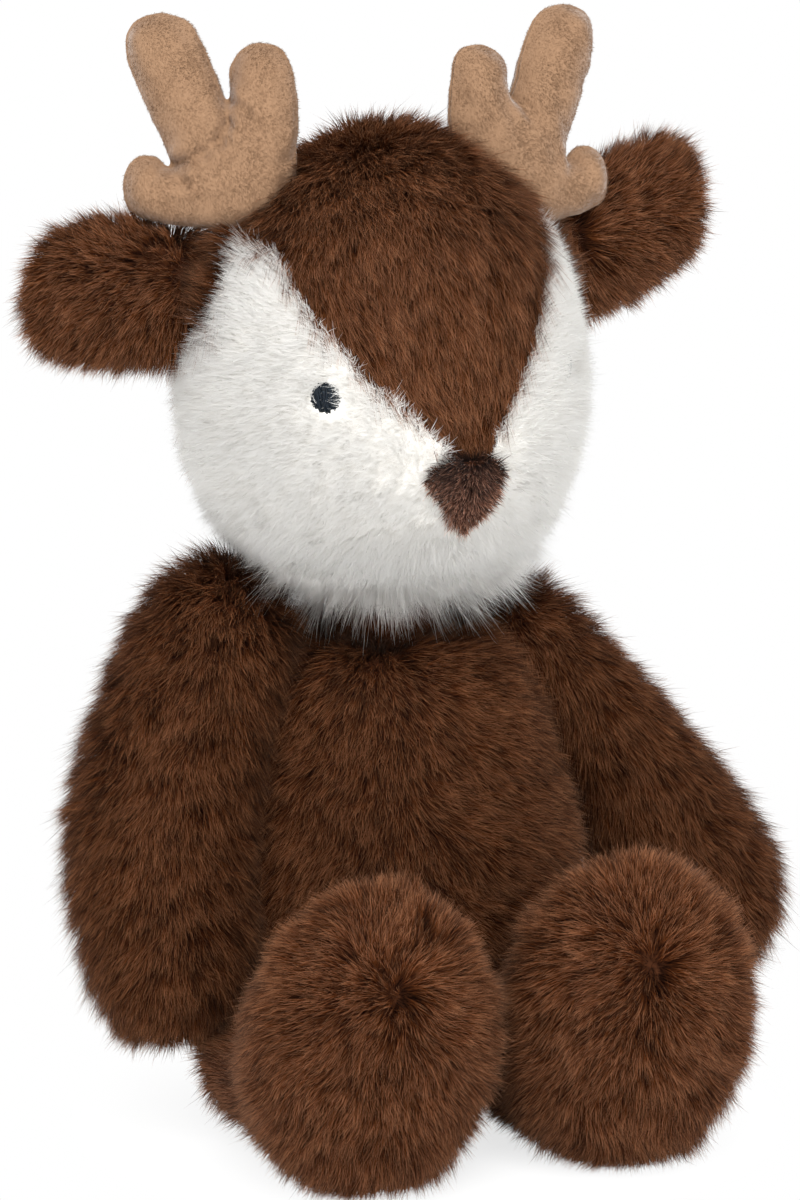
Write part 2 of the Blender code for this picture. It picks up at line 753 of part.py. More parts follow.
def ear_form(lift):
    """The ear of the deer's left side, its end raised by the lift."""
    stations = (
        (*EAR_ROOT, EAR_ROOT_HALF_THICKNESS, EAR_ROOT_HALF_HEIGHT),
        (EAR_BROAD_OUT, EAR_ROOT_BACK + EAR_SWEEP_BACK / 2, EAR_ROOT_RISE + lift / 2,
         EAR_BROAD_HALF_THICKNESS, EAR_BROAD_HALF_HEIGHT),
        (*ear_end(lift), EAR_END_HALF_THICKNESS, EAR_END_HALF_HEIGHT),
    )
    return stuffed("ear_form", stations, BACK, EAR_ROOT_HALF_THICKNESS, EAR_TIP_LENGTH,
                   sides=SMALL_SIDES)


def swept_head(pivot, axis, degrees, depth=0):
    """The head with a seam's gap round it, as a piece that swings against it meets it."""
    grown = head_form(-SEAM_GAP - depth)
    return (grown, turned(grown, pivot, axis, degrees), turned(grown, pivot, axis, -degrees))


def make_ears(head):
    axes = hinge_pair("ear_{}_hinge", EAR_ROOT, head)
    for axis, name, lift in ((axes[0], "left", EAR_LEFT_LIFT), (axes[1], "right", EAR_RIGHT_LIFT)):
        body = settled(cut(ear_form(lift), *swept_head(EAR_ROOT, "Z", EAR_SWING_DEGREES)))
        along = (ear_end(lift) - EAR_ROOT).normalized()
        rear = Vector((-along.y, along.x, 0))
        for face, beyond in (("front", rear), ("back", -rear)):
            panel = cut(copy_of(body), away_from(EAR_ROOT, beyond))
            if name == "right":
                panel = mirrored(panel)
            piece(f"ear_{name}_{face}_panel", panel, BROWN, axis)


# Antlers


def antler_root(over_head_middle):
    return Vector((ANTLER_OUT, ANTLER_BACK, HEAD_RISE + over_head_middle))


def antler_frame():
    """Outward, backward and upward for an antler that leans back and is turned a little out."""
    yaw = Matrix.Rotation(math.radians(ANTLER_YAW_DEGREES), 3, "Z")
    lean = Matrix.Rotation(math.radians(-ANTLER_LEAN_DEGREES), 3, "X")
    turn = yaw @ lean
    return turn @ SIDE, turn @ BACK, turn @ UP


def antler_form(root, depth):
    """An antler of the deer's left side: a broad palm that parts into prongs."""
    outward, backward, upward = antler_frame()

    def station(out, rise, half_width, half_thickness):
        place = root + outward * out + upward * rise
        return (*place, half_width, half_thickness)

    thick = ANTLER_HALF_THICKNESS
    tall = stuffed(
        "tall_prong",
        (
            station(TALL_PRONG_FOOT_OUT, -ANTLER_FOOT_DEPTH, TALL_PRONG_FOOT_HALF_WIDTH, thick),
            station(TALL_PRONG_MIDDLE_OUT, TALL_PRONG_MIDDLE_UP, TALL_PRONG_HALF_WIDTH, thick),
            station(TALL_PRONG_TIP_OUT, TALL_PRONG_HEIGHT, TALL_PRONG_TIP_HALF_WIDTH,
                    TALL_PRONG_TIP_HALF_WIDTH * PRONG_TIP_THICKNESS_SHARE),
        ),
        outward, ANTLER_FOOT_DEPTH, TALL_PRONG_TIP_HALF_WIDTH, depth,
        sides=PRONG_SIDES, cap_rings=2,
    )
    inner = stuffed(
        "inner_prong",
        (
            station(-INNER_PRONG_FOOT_IN, -ANTLER_FOOT_DEPTH / 2, INNER_PRONG_FOOT_HALF_WIDTH, thick),
            station(-INNER_PRONG_MIDDLE_IN, INNER_PRONG_MIDDLE_UP, INNER_PRONG_HALF_WIDTH, thick),
            station(-INNER_PRONG_TIP_IN, INNER_PRONG_HEIGHT, INNER_PRONG_TIP_HALF_WIDTH,
                    INNER_PRONG_TIP_HALF_WIDTH * PRONG_TIP_THICKNESS_SHARE),
        ),
        outward, ANTLER_FOOT_DEPTH, INNER_PRONG_TIP_HALF_WIDTH, depth,
        sides=PRONG_SIDES, cap_rings=2,
    )
    side_prong = stuffed(
        "side_prong",
        (
            station(0, SIDE_PRONG_LEVEL, SIDE_PRONG_HALF_WIDTH, SIDE_PRONG_HALF_WIDTH),
            station(SIDE_PRONG_REACH, SIDE_PRONG_LEVEL, SIDE_PRONG_HALF_WIDTH,
                    SIDE_PRONG_TIP_HALF_THICKNESS),
        ),
        upward, SIDE_PRONG_HALF_WIDTH, SIDE_PRONG_HALF_WIDTH, depth,
        sides=PRONG_SIDES, steps=1, cap_rings=2,
    )
    body = boolean(boolean(tall, inner, "UNION"), side_prong, "UNION")
    over_ear = EAR_ROOT_RISE + EAR_LEFT_LIFT / 2 + EAR_BROAD_HALF_HEIGHT + ANTLER_OVER_EAR + depth
    return cut(
        body,
        away_from((0, 0, over_ear), -UP),
        *swept_head(root, "X", ANTLER_BEND_DEGREES, depth),
    )


def make_antlers(head):
    rear = antler_frame()[1]
    for name, over_head_middle in (
        ("left", ANTLER_LEFT_OVER_HEAD_MIDDLE),
        ("right", ANTLER_RIGHT_OVER_HEAD_MIDDLE),
    ):
        root = antler_root(over_head_middle)
        sign = -1 if name == "right" else 1
        axis = hinge(f"antler_{name}_hinge", Vector((sign * root.x, root.y, root.z)), head)
        wall = settled(cut(settled(antler_form(root, 0)), settled(antler_form(root, VELOUR_WALL))))
        stuffing = antler_form(root, VELOUR_WALL + SEAM_GAP)
        for part, body, material in (
            ("front_panel", cut(copy_of(wall), away_from(root, rear)), TAN),
            ("back_panel", cut(copy_of(wall), away_from(root, -rear)), TAN),
            ("stuffing", stuffing, FILLING),
        ):
            if name == "right":
                body = mirrored(body)
            piece(f"antler_{name}_{part}", body, material, axis)


# Arms


def arm_stations(sign):
    if sign > 0:
        elbow = (ARM_LEFT_ELBOW_OUT, -ARM_LEFT_ELBOW_FORWARD, ARM_LEFT_ELBOW_RISE)
        paw = (ARM_LEFT_PAW_OUT, -ARM_LEFT_PAW_FORWARD, ARM_LEFT_PAW_RISE)
        forearm_half, paw_half = ARM_LEFT_FOREARM_HALF_WIDTH, ARM_LEFT_PAW_HALF_WIDTH
    else:
        elbow = (-ARM_RIGHT_ELBOW_OUT, -ARM_RIGHT_ELBOW_FORWARD, ARM_RIGHT_ELBOW_RISE)
        paw = (-ARM_RIGHT_PAW_OUT, -ARM_RIGHT_PAW_FORWARD, ARM_RIGHT_PAW_RISE)
        forearm_half, paw_half = ARM_RIGHT_FOREARM_HALF_WIDTH, ARM_RIGHT_PAW_HALF_WIDTH
    ball_half = shoulder_radius(sign)
    return (
        (*shoulder(sign), ball_half, ball_half),
        (*elbow, forearm_half, forearm_half),
        (*paw, paw_half, paw_half),
    )


def arm_at(sign, depth):
    radius = shoulder_radius(sign)
    body = stuffed("arm_form", arm_stations(sign), SIDE, radius, PAW_LENGTH, depth, steps=3)
    room = SEAM_GAP + depth
    trunk = torso_form(-room)
    trunk = settled(cut(trunk, ball(shoulder(sign), radius - depth + SEAM_GAP / 2)))
    cut(body, trunk)
    if sign > 0:
        cut(body, turned(trunk, shoulder(sign), "Y", -ARM_LEFT_INWARD_DEGREES))
    return body


def make_arms(root):
    for sign, name in ((1, "left"), (-1, "right")):
        axis = hinge(f"arm_{name}_hinge", shoulder(sign), root)
        stations = arm_stations(sign)
        along = (Vector(stations[-1][:3]) - shoulder(sign)).normalized()
        outward = along.cross(BACK).normalized()
        if outward.x * sign < 0:
            outward.negate()
        wall = shell(lambda depth: arm_at(sign, depth), PLUSH_WALL)
        seam = Vector(stations[1][:3])
        outer = cut(copy_of(wall), away_from(seam, -outward))
        inner = cut(copy_of(wall), away_from(seam, outward))
        piece(f"arm_{name}_outer_panel", outer, BROWN, axis)
        piece(f"arm_{name}_inner_panel", inner, BROWN, axis)
        piece(f"arm_{name}_stuffing", arm_at(sign, PLUSH_WALL + SEAM_GAP), FILLING, axis)


# Legs


def make_legs(root):
    axes = hinge_pair("leg_{}_hinge", HIP, root)
    wall = settled(cut(shell(leg_form, PLUSH_WALL), under_floor()))
    outward = Vector((FOOT_FORWARD - HIP_FORWARD, FOOT_OUT - HIP_OUT, 0))
    pair("leg_{}_outer_panel", cut(copy_of(wall), away_from(HIP, -outward)), BROWN, axes)
    pair("leg_{}_inner_panel", cut(copy_of(wall), away_from(HIP, outward)), BROWN, axes)
    pair("leg_{}_stuffing", leg_form(PLUSH_WALL + SEAM_GAP), FILLING, axes)


# Tail


def tail_root():
    return Vector((0, BELLY_HALF_DEPTH - BELLY_FORWARD - TAIL_ROOT_INSIDE, TAIL_RISE))


def make_tail(root):
    pivot = tail_root()
    axis = hinge("tail_hinge", pivot, root)
    tip = pivot + BACK * TAIL_TIP_BACK + UP * TAIL_TIP_UP
    stations = (
        (*pivot, TAIL_HALF_WIDTH, TAIL_HALF_THICKNESS),
        (*tip, TAIL_TIP_HALF_WIDTH, TAIL_HALF_THICKNESS),
    )
    body = stuffed("tail_form", stations, SIDE, TAIL_ROOT_INSIDE, TAIL_TIP_LENGTH,
                   sides=SMALL_SIDES)
    trunk = torso_form(-SEAM_GAP)
    cut(
        body,
        trunk,
        turned(trunk, pivot, "X", TAIL_SWING_DEGREES),
        turned(trunk, pivot, "X", -TAIL_SWING_DEGREES),
    )
    body = settled(body)
    upward = (tip - pivot).normalized().cross(SIDE).normalized()
    if upward.z < 0:
        upward.negate()
    piece("tail_top_panel", cut(copy_of(body), away_from(pivot, -upward)), BROWN, axis)
    piece("tail_under_panel", cut(copy_of(body), away_from(pivot, upward)), WHITE, axis)


def build_deer():
    root = hinge("seat", Vector((0, 0, 0)))
    neck = hinge("neck_pivot", NECK, root)
    head = hinge("head_pivot", NECK, neck)
    make_torso(root)
    make_neck(neck)
    make_head_panels(head)
    make_nose(head)
    make_eyes(head)
    make_ears(head)
    make_antlers(head)
    make_arms(root)
    make_legs(root)
    make_tail(root)


build_deer()
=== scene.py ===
"""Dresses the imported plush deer: pile cloth planted tuft by tuft, velour antlers, stitched eyes.

Lengths are in metres and angles in degrees, +Z is up, the deer faces -Y, and its own left is +X.
"""

import math

import bmesh
import bpy
import numpy as np
from mathutils import Matrix, Vector
from mathutils.geometry import delaunay_2d_cdt


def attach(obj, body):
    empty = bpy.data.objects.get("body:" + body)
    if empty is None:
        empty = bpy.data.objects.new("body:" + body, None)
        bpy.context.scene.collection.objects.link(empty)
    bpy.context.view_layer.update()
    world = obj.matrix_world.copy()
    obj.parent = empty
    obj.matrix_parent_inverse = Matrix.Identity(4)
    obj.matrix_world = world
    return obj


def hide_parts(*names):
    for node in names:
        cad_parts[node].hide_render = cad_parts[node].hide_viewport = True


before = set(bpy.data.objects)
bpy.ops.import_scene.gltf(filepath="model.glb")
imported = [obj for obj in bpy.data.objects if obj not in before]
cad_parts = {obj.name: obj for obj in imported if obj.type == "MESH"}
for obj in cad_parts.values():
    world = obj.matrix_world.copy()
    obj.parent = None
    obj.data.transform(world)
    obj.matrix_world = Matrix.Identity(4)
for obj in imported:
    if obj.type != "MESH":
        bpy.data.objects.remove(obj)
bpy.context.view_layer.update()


# Camera: stands in front of the deer's right side and a little above it, as the photographer did,
# with a long lens that draws the toy almost without perspective.
PICTURE_RIGHT = Vector((0.934, -0.358, 0.0))
PICTURE_UP = Vector((0.0988, 0.2573, 0.9613))
PICTURE_HEIGHT = 0.300
CAMERA_DISTANCE = 5.0
LOOK_AT = Vector((-0.0016, -0.0147, 0.1318))
SENSOR_HEIGHT_MM = 36

towards_camera = PICTURE_RIGHT.cross(PICTURE_UP).normalized()
lens = bpy.data.cameras.new("camera")
lens.sensor_fit = "VERTICAL"
lens.sensor_height = SENSOR_HEIGHT_MM
lens.lens = SENSOR_HEIGHT_MM * CAMERA_DISTANCE / PICTURE_HEIGHT
camera = bpy.data.objects.new("camera", lens)
camera.location = LOOK_AT + towards_camera * CAMERA_DISTANCE
camera.rotation_euler = towards_camera.to_track_quat("Z", "Y").to_euler()
bpy.context.collection.objects.link(camera)
bpy.context.scene.camera = camera
bpy.context.scene.view_settings.view_transform = "Standard"


# Studio: an even white room, one wide soft lamp high in front of the deer, and a sheet of white
# paper that keeps the toy's own shadow and goes over to plain white further out.
ROOM_LEVEL = 1.22
LAMP_WATTS = 66
LAMP_SIZE = 1.7
LAMP_PLACE = Vector((-0.45, -1.55, 1.65))
PAPER_RADIUS = 3.0
PAPER_DROP = 0.0002
PAPER_COLOUR = (0.95, 0.95, 0.95, 1)
SHADOW_MIDDLE = (0, -0.03, 0)
SHADOW_FULL = 0.03
SHADOW_REACH = 0.09
SHADOW_LIGHTEST = 0.74


def even_light(nodes, level):
    light = nodes.new("ShaderNodeBackground")
    light.inputs["Color"].default_value = (1, 1, 1, 1)
    light.inputs["Strength"].default_value = level
    return light


def white_room():
    room = bpy.data.worlds.new("white_room")
    room.use_nodes = True
    nodes, links = room.node_tree.nodes, room.node_tree.links
    nodes.clear()
    rays = nodes.new("ShaderNodeLightPath")
    either = nodes.new("ShaderNodeMixShader")
    out = nodes.new("ShaderNodeOutputWorld")
    links.new(rays.outputs["Is Camera Ray"], either.inputs[0])
    links.new(even_light(nodes, ROOM_LEVEL).outputs[0], either.inputs[1])
    links.new(even_light(nodes, 1).outputs[0], either.inputs[2])
    links.new(either.outputs[0], out.inputs["Surface"])
    bpy.context.scene.world = room


def soft_lamp():
    light = bpy.data.lights.new("soft_lamp", "AREA")
    light.shape = "DISK"
    light.size = LAMP_SIZE
    light.energy = LAMP_WATTS
    lamp = bpy.data.objects.new("soft_lamp", light)
    lamp.location = LAMP_PLACE
    lamp.rotation_euler = (LAMP_PLACE - LOOK_AT).to_track_quat("Z", "Y").to_euler()
    bpy.context.collection.objects.link(lamp)


def paper_material():
    material = bpy.data.materials.new("white_paper")
    material.use_nodes = True
    nodes, links = material.node_tree.nodes, material.node_tree.links
    paper = nodes["Principled BSDF"]
    paper.inputs["Base Color"].default_value = PAPER_COLOUR
    paper.inputs["Roughness"].default_value = 0.9
    paper.inputs["Specular IOR Level"].default_value = 0.1
    white = nodes.new("ShaderNodeEmission")
    white.inputs["Color"].default_value = (1, 1, 1, 1)
    place = nodes.new("ShaderNodeNewGeometry")
    reach = nodes.new("ShaderNodeVectorMath")
    reach.operation = "DISTANCE"
    reach.inputs[1].default_value = SHADOW_MIDDLE
    fade = nodes.new("ShaderNodeMapRange")
    fade.inputs["From Min"].default_value = SHADOW_FULL
    fade.inputs["From Max"].default_value = SHADOW_REACH
    fade.inputs["To Min"].default_value = SHADOW_LIGHTEST
    rays = nodes.new("ShaderNodeLightPath")
    seen = nodes.new("ShaderNodeMath")
    seen.operation = "MULTIPLY"
    either = nodes.new("ShaderNodeMixShader")
    links.new(place.outputs["Position"], reach.inputs[0])
    links.new(reach.outputs["Value"], fade.inputs["Value"])
    links.new(fade.outputs["Result"], seen.inputs[0])
    links.new(rays.outputs["Is Camera Ray"], seen.inputs[1])
    links.new(seen.outputs[0], either.inputs[0])
    links.new(paper.outputs[0], either.inputs[1])
    links.new(white.outputs[0], either.inputs[2])
    links.new(either.outputs[0], nodes["Material Output"].inputs["Surface"])
    return material


def paper_sheet():
    shape = bmesh.new()
    bmesh.ops.create_circle(shape, cap_ends=True, segments=64, radius=PAPER_RADIUS)
    mesh = bpy.data.meshes.new("white_paper")
    shape.to_mesh(mesh)
    shape.free()
    mesh.materials.append(paper_material())
    sheet = bpy.data.objects.new("white_paper", mesh)
    sheet.location = (0, 0, -PAPER_DROP)
    bpy.context.collection.objects.link(sheet)


white_room()
soft_lamp()
paper_sheet()


# Torso: a pear of brown pile cloth, stuffed and closed at the neck, with a bag of pellets in its
# seat. The backing cloth is blown out by its filling between the side seams. The pile is planted
# on it in tufts, combed down and to both sides of a parting on the chest.
TORSO_NODES = ("chest_panel", "back_panel", "torso_stuffing", "pellet_bag")
BODY_SEAM_BACK = 0.012
CLOTH_CELL = 0.0045
FILLING_TRAVEL = 0.0012
SEAM_HOLD = 0.0025
SIMULATION_SCALE = 20
CLOTH_FRAMES = 20
CLOTH_MASS = 0.1
FILLING_PRESSURE = 4
FLOOR_CLEARANCE = 0.0003
PILE_DEPTH = 0.0038
CLOTH_DEPTH = 0.0032
TORSO_PILE_LENGTH = 0.0095
TORSO_PILE_STAND = 0.76
PARTING_WIDTH = 0.016
PARTING_PLACE = -0.010
TUFTS_PER_MM2 = 1.15
STRANDS_PER_TUFT = 6
TUFT_RADIUS = 0.0011
STRAND_WIDTH = 0.00016
TUFT_MOTTLE = 0.16
STRAND_LEVELS = (0.0, 0.52, 1.0)
STRAND_TAPER = (1.0, 0.85, 0.0)
STRAND_LENGTH_SPREAD = (0.78, 1.06)
STRAND_WIDTH_SPREAD = (0.75, 1.25)
LONG_STRANDS = 0.05
LONG_STRAND_STRETCH = 1.18
SWIRL_PATCH = 0.018
LENGTH_PATCH = 0.011
STAND_PATCH = 0.008
SHADE_PATCH = 0.009
LIE_SPREAD = 0.22
STAND_SPREAD = 0.06
LEAST_STAND = 0.25
MOST_STAND = 0.985
PILE_PIECE_STRANDS = 62000
# The pile's colour bands: the dark root is painted shade down in the pile, and the pale end is painted
# rim light on the tips.
PILE_BANDS = (0.22, 0.50, 0.62, 0.82, 1.0)
BROWN_ROOT = (0.022, 0.0056, 0.0018, 1)
# The torso's and arms' pile: the head's brown cloth painted darker, as shade under the head.
SHADED_BODY_MIDDLE = (0.053, 0.0133, 0.0030, 1)
SHADED_BODY_TIP = (0.172, 0.067, 0.027, 1)
SHADED_BODY_END = (0.28, 0.128, 0.062, 1)
DARK_STRAND = (0.16, 0.15, 0.14, 1)
LIGHT_STRAND = (1.90, 2.00, 2.10, 1)
BROWN_GLOSS = 0.05
BROWN_SHEEN = 0.10
SHEEN_TINT = (1.0, 0.66, 0.48, 1)
BACKING_DARK = (0.030, 0.0090, 0.0030, 1)
BACKING_LIGHT = (0.060, 0.0190, 0.0070, 1)
BACKING_GRAIN = 700
BACKING_RELIEF = 0.0003
DOWN = np.array((0.0, 0.0, -1.0))
SIDEWAYS = np.array((1.0, 0.0, 0.0))


def unit(vectors):
    length = np.linalg.norm(vectors, axis=-1, keepdims=True)
    return vectors / np.maximum(length, 1e-12)


def distance(places, point):
    return np.linalg.norm(places - point, axis=-1)


def wave_noise(places, size, seed):
    """Smooth noise of about -1 to 1, made of a few waves that run in random directions."""
    draw = np.random.default_rng(seed)
    total = np.zeros(len(places))
    for _ in range(9):
        way = draw.normal(size=3)
        way *= draw.uniform(0.6, 1.5) / (np.linalg.norm(way) * size)
        total += np.sin(places @ way * 2 * math.pi + draw.uniform(0, 2 * math.pi))
    return total / 3


def coordinates(mesh):
    flat = np.empty(len(mesh.vertices) * 3)
    mesh.vertices.foreach_get("co", flat)
    return flat.reshape(-1, 3)


def evaluated_mesh(body):
    graph = bpy.context.evaluated_depsgraph_get()
    return bpy.data.meshes.new_from_object(body.evaluated_get(graph))


def outer_skin_only(shape):
    """Takes out every island of a mesh but the largest, so no inner wall is left."""
    left = set(shape.verts)
    islands = []
    while left:
        front = [left.pop()]
        island = set(front)
        while front:
            vertex = front.pop()
            for edge in vertex.link_edges:
                other = edge.other_vert(vertex)
                if other in left:
                    left.discard(other)
                    island.add(other)
                    front.append(other)
        islands.append(island)
    islands.sort(key=len)
    for island in islands[:-1]:
        bmesh.ops.delete(shape, geom=list(island), context="VERTS")


def skin_round(name, nodes, cell, rounds):
    """A smooth closed skin round the solids of a body."""
    shape = bmesh.new()
    for node in nodes:
        shape.from_mesh(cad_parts[node].data)
    mesh = bpy.data.meshes.new(name)
    shape.to_mesh(mesh)
    shape.free()
    holder = bpy.data.objects.new(name, mesh)
    bpy.context.collection.objects.link(holder)
    remesh = holder.modifiers.new("voxels", "REMESH")
    remesh.mode = "VOXEL"
    remesh.voxel_size = cell
    skin = evaluated_mesh(holder)
    bpy.data.objects.remove(holder)
    bpy.data.meshes.remove(mesh)
    shape = bmesh.new()
    shape.from_mesh(skin)
    outer_skin_only(shape)
    for _ in range(rounds):
        bmesh.ops.smooth_vert(
            shape, verts=shape.verts, factor=0.5, use_axis_x=True, use_axis_y=True, use_axis_z=True
        )
    shape.to_mesh(skin)
    shape.free()
    return skin


def blown_out(skin, held, travel):
    """Blows the cloth out with its filling. Seams are held, and no point goes beyond the travel."""
    start = coordinates(skin)
    middle = start.mean(axis=0)
    skin.vertices.foreach_set("co", ((start - middle) * SIMULATION_SCALE).reshape(-1))
    body = bpy.data.objects.new("blown_cloth", skin)
    bpy.context.collection.objects.link(body)
    seam = body.vertex_groups.new(name="seam")
    seam.add(np.flatnonzero(held(start)).tolist(), 1, "REPLACE")
    cloth = body.modifiers.new("cloth", "CLOTH")
    cloth.settings.mass = CLOTH_MASS
    cloth.settings.use_pressure = True
    cloth.settings.uniform_pressure_force = FILLING_PRESSURE
    cloth.settings.effector_weights.gravity = 0
    cloth.settings.vertex_group_mass = "seam"
    cloth.point_cache.frame_end = CLOTH_FRAMES
    for frame_number in range(1, CLOTH_FRAMES + 1):
        bpy.context.scene.frame_set(frame_number)
    full = evaluated_mesh(body)
    moved = coordinates(full) / SIMULATION_SCALE + middle - start
    reach = np.linalg.norm(moved, axis=1, keepdims=True)
    capped = moved * np.minimum(1, travel / np.maximum(reach, 1e-9))
    skin.vertices.foreach_set("co", (start + capped).reshape(-1))
    bpy.data.objects.remove(body)
    bpy.data.meshes.remove(full)
    bpy.context.scene.frame_set(1)


def subdivided(skin):
    """The skin with each face split once on a smooth curve, as arrays of points and triangles."""
    holder = bpy.data.objects.new("subdivided", skin)
    bpy.context.collection.objects.link(holder)
    finer = holder.modifiers.new("finer", "SUBSURF")
    finer.levels = 1
    smooth = evaluated_mesh(holder)
    bpy.data.objects.remove(holder)
    shape = bmesh.new()
    shape.from_mesh(smooth)
    bmesh.ops.triangulate(shape, faces=shape.faces)
    shape.to_mesh(smooth)
    shape.free()
    corners = np.empty(len(smooth.polygons) * 3, np.int32)
    smooth.polygons.foreach_get("vertices", corners)
    normals = np.empty(len(smooth.vertices) * 3, np.float32)
    smooth.vertex_normals.foreach_get("vector", normals)
    surface = (coordinates(smooth), corners.reshape(-1, 3), normals.reshape(-1, 3).astype(float))
    bpy.data.meshes.remove(smooth)
    return surface


def stuffed_cloth(name, nodes, held, cell=CLOTH_CELL, rounds=5, travel=FILLING_TRAVEL):
    skin = skin_round(name, nodes, cell, rounds)
    blown_out(skin, held, travel)
    surface = subdivided(skin)
    bpy.data.meshes.remove(skin)
    return surface


def at_body_seam(places):
    return np.abs(places[:, 1] - BODY_SEAM_BACK) < SEAM_HOLD


def no_seam(places):
    return np.zeros(len(places), bool)


def dressed(name, mesh, material, body):
    """Puts a mesh on its body with its finish."""
    mesh.materials.append(material)
    piece = bpy.data.objects.new(name, mesh)
    bpy.context.collection.objects.link(piece)
    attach(piece, body)
    return piece


def backing(name, surface, depth, material, body, replaced, region=None):
    """The cloth that the pile grows from, sunk below the pile's own surface."""
    points, corners, normals = surface
    if region:
        corners = corners[region(points[corners].mean(axis=1))]
    used, index = np.unique(corners, return_inverse=True)
    sunk = points[used] - normals[used] * depth
    sunk[:, 2] = np.maximum(sunk[:, 2], FLOOR_CLEARANCE)
    mesh = bpy.data.meshes.new(name)
    mesh.from_pydata(sunk.tolist(), [], index.reshape(-1, 3).tolist())
    mesh.shade_smooth()
    piece = dressed(name, mesh, material, body)
    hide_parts(*replaced)


def planted(surface, density, draw):
    """Random places on a surface, so many to a square millimetre, and the normals there."""
    points, corners, normals = surface
    a, b, c = (points[corners[:, k]] for k in range(3))
    area = np.linalg.norm(np.cross(b - a, c - a), axis=1) / 2
    count = int(area.sum() * 1e6 * density)
    chosen = draw.choice(len(corners), size=count, p=area / area.sum())
    first, second = draw.random(count), draw.random(count)
    beyond = first + second > 1
    first[beyond], second[beyond] = 1 - first[beyond], 1 - second[beyond]
    shares = np.stack((1 - first - second, first, second), axis=1)
    place = np.einsum("nk,nkd->nd", shares, points[corners[chosen]])
    normal = unit(np.einsum("nk,nkd->nd", shares, normals[corners[chosen]]))
    return place, normal


def value_at(value, place):
    return value(place) if callable(value) else np.full(len(place), float(value))


def combed_tufts(surface, flow, length, stand, seed, density=TUFTS_PER_MM2, keep=None,
                 swirl=0.28, depth=PILE_DEPTH, rough=0.08):
    """Tufts on a surface: root, normal, the way each lies, its length and how upright it stands."""
    draw = np.random.default_rng(seed)
    place, normal = planted(surface, density, draw)
    if keep:
        kept = keep(place)
        place, normal = place[kept], normal[kept]
    lie = flow(place, normal)
    lie = unit(lie - normal * (lie * normal).sum(axis=1, keepdims=True))
    across = np.cross(normal, lie)
    turn = swirl * wave_noise(place, SWIRL_PATCH, seed + 1)
    turn += draw.normal(size=len(place)) * LIE_SPREAD
    lie = lie * np.cos(turn)[:, None] + across * np.sin(turn)[:, None]
    long = value_at(length, place)
    long *= 1 + rough * (wave_noise(place, LENGTH_PATCH, seed + 2) + 0.6 * draw.normal(size=len(place)))
    rise = value_at(stand, place) + rough * wave_noise(place, STAND_PATCH, seed + 3)
    rise = np.clip(rise + STAND_SPREAD * draw.normal(size=len(place)), LEAST_STAND, MOST_STAND)
    return place - normal * depth, normal, lie, long, rise


def strands_of(tufts, seed, strands=STRANDS_PER_TUFT, radius=TUFT_RADIUS, width=STRAND_WIDTH,
               gather=0.4, stray=0.0010, droop=0.05, fan=0.3, roll=0.8, mottle=0.34, tone=None):
    """Each strand as a ribbon that tapers to its tip: points, normals, and a map of shade and height."""
    root, normal, lie, long, rise = (np.repeat(part, strands, axis=0) for part in tufts)
    draw = np.random.default_rng(seed + 7)
    count = len(root)
    across = np.cross(normal, lie)
    angle = draw.uniform(0, 2 * math.pi, count)
    reach = radius * np.sqrt(draw.random(count))
    offset = (lie * np.cos(angle)[:, None] + across * np.sin(angle)[:, None]) * reach[:, None]
    wayward = draw.normal(size=(count, 3)) * stray
    own = long * draw.uniform(*STRAND_LENGTH_SPREAD, count)
    own[draw.random(count) < LONG_STRANDS] *= LONG_STRAND_STRETCH
    lean = np.sqrt(1 - rise**2)
    run = np.empty((count, len(STRAND_LEVELS), 3))
    for index, t in enumerate(STRAND_LEVELS):
        up = (own * rise * (1 - (1 - t) ** 1.5))[:, None]
        ahead = (own * lean * t**1.4)[:, None]
        fall = DOWN * (own * droop * t**2)[:, None]
        run[:, index] = root + normal * up + lie * ahead + offset * (1 - gather * t) + wayward * t**1.5
        run[:, index] += fall
    along = unit(np.gradient(run, axis=1))
    facing = normal[:, None, :]
    side = unit(np.cross(along, facing) + 1e-6)
    over = np.cross(side, along)
    twist = draw.uniform(-roll, roll, count)[:, None, None]
    side, over = side * np.cos(twist) + over * np.sin(twist), over * np.cos(twist) - side * np.sin(twist)
    taper = np.array(STRAND_TAPER)[None, :, None]
    half = side * (width / 2 * taper * draw.uniform(*STRAND_WIDTH_SPREAD, count)[:, None, None])
    points = np.stack((run[:, 0] - half[:, 0], run[:, 0] + half[:, 0],
                       run[:, 1] - half[:, 1], run[:, 1] + half[:, 1], run[:, 2]), axis=1)
    bend = unit(facing * (1 - fan) + over * fan + along * 0.2)
    soft = bend[:, (0, 0, 1, 1, 2)]
    shade = 0.5 + 0.08 * wave_noise(root, SHADE_PATCH, seed + 4) + mottle * draw.normal(size=count)
    shade += TUFT_MOTTLE * np.repeat(draw.normal(size=count // strands), strands)
    if tone:
        shade += tone(root)
    chart = np.empty((count, 5, 2))
    chart[:, :, 0] = np.clip(shade, 0.02, 0.98)[:, None]
    chart[:, :, 1] = np.array((0.01, 0.01, STRAND_LEVELS[1], STRAND_LEVELS[1], 0.99))
    chart[:, (1, 3), 0] += 0.004
    return points, soft, chart


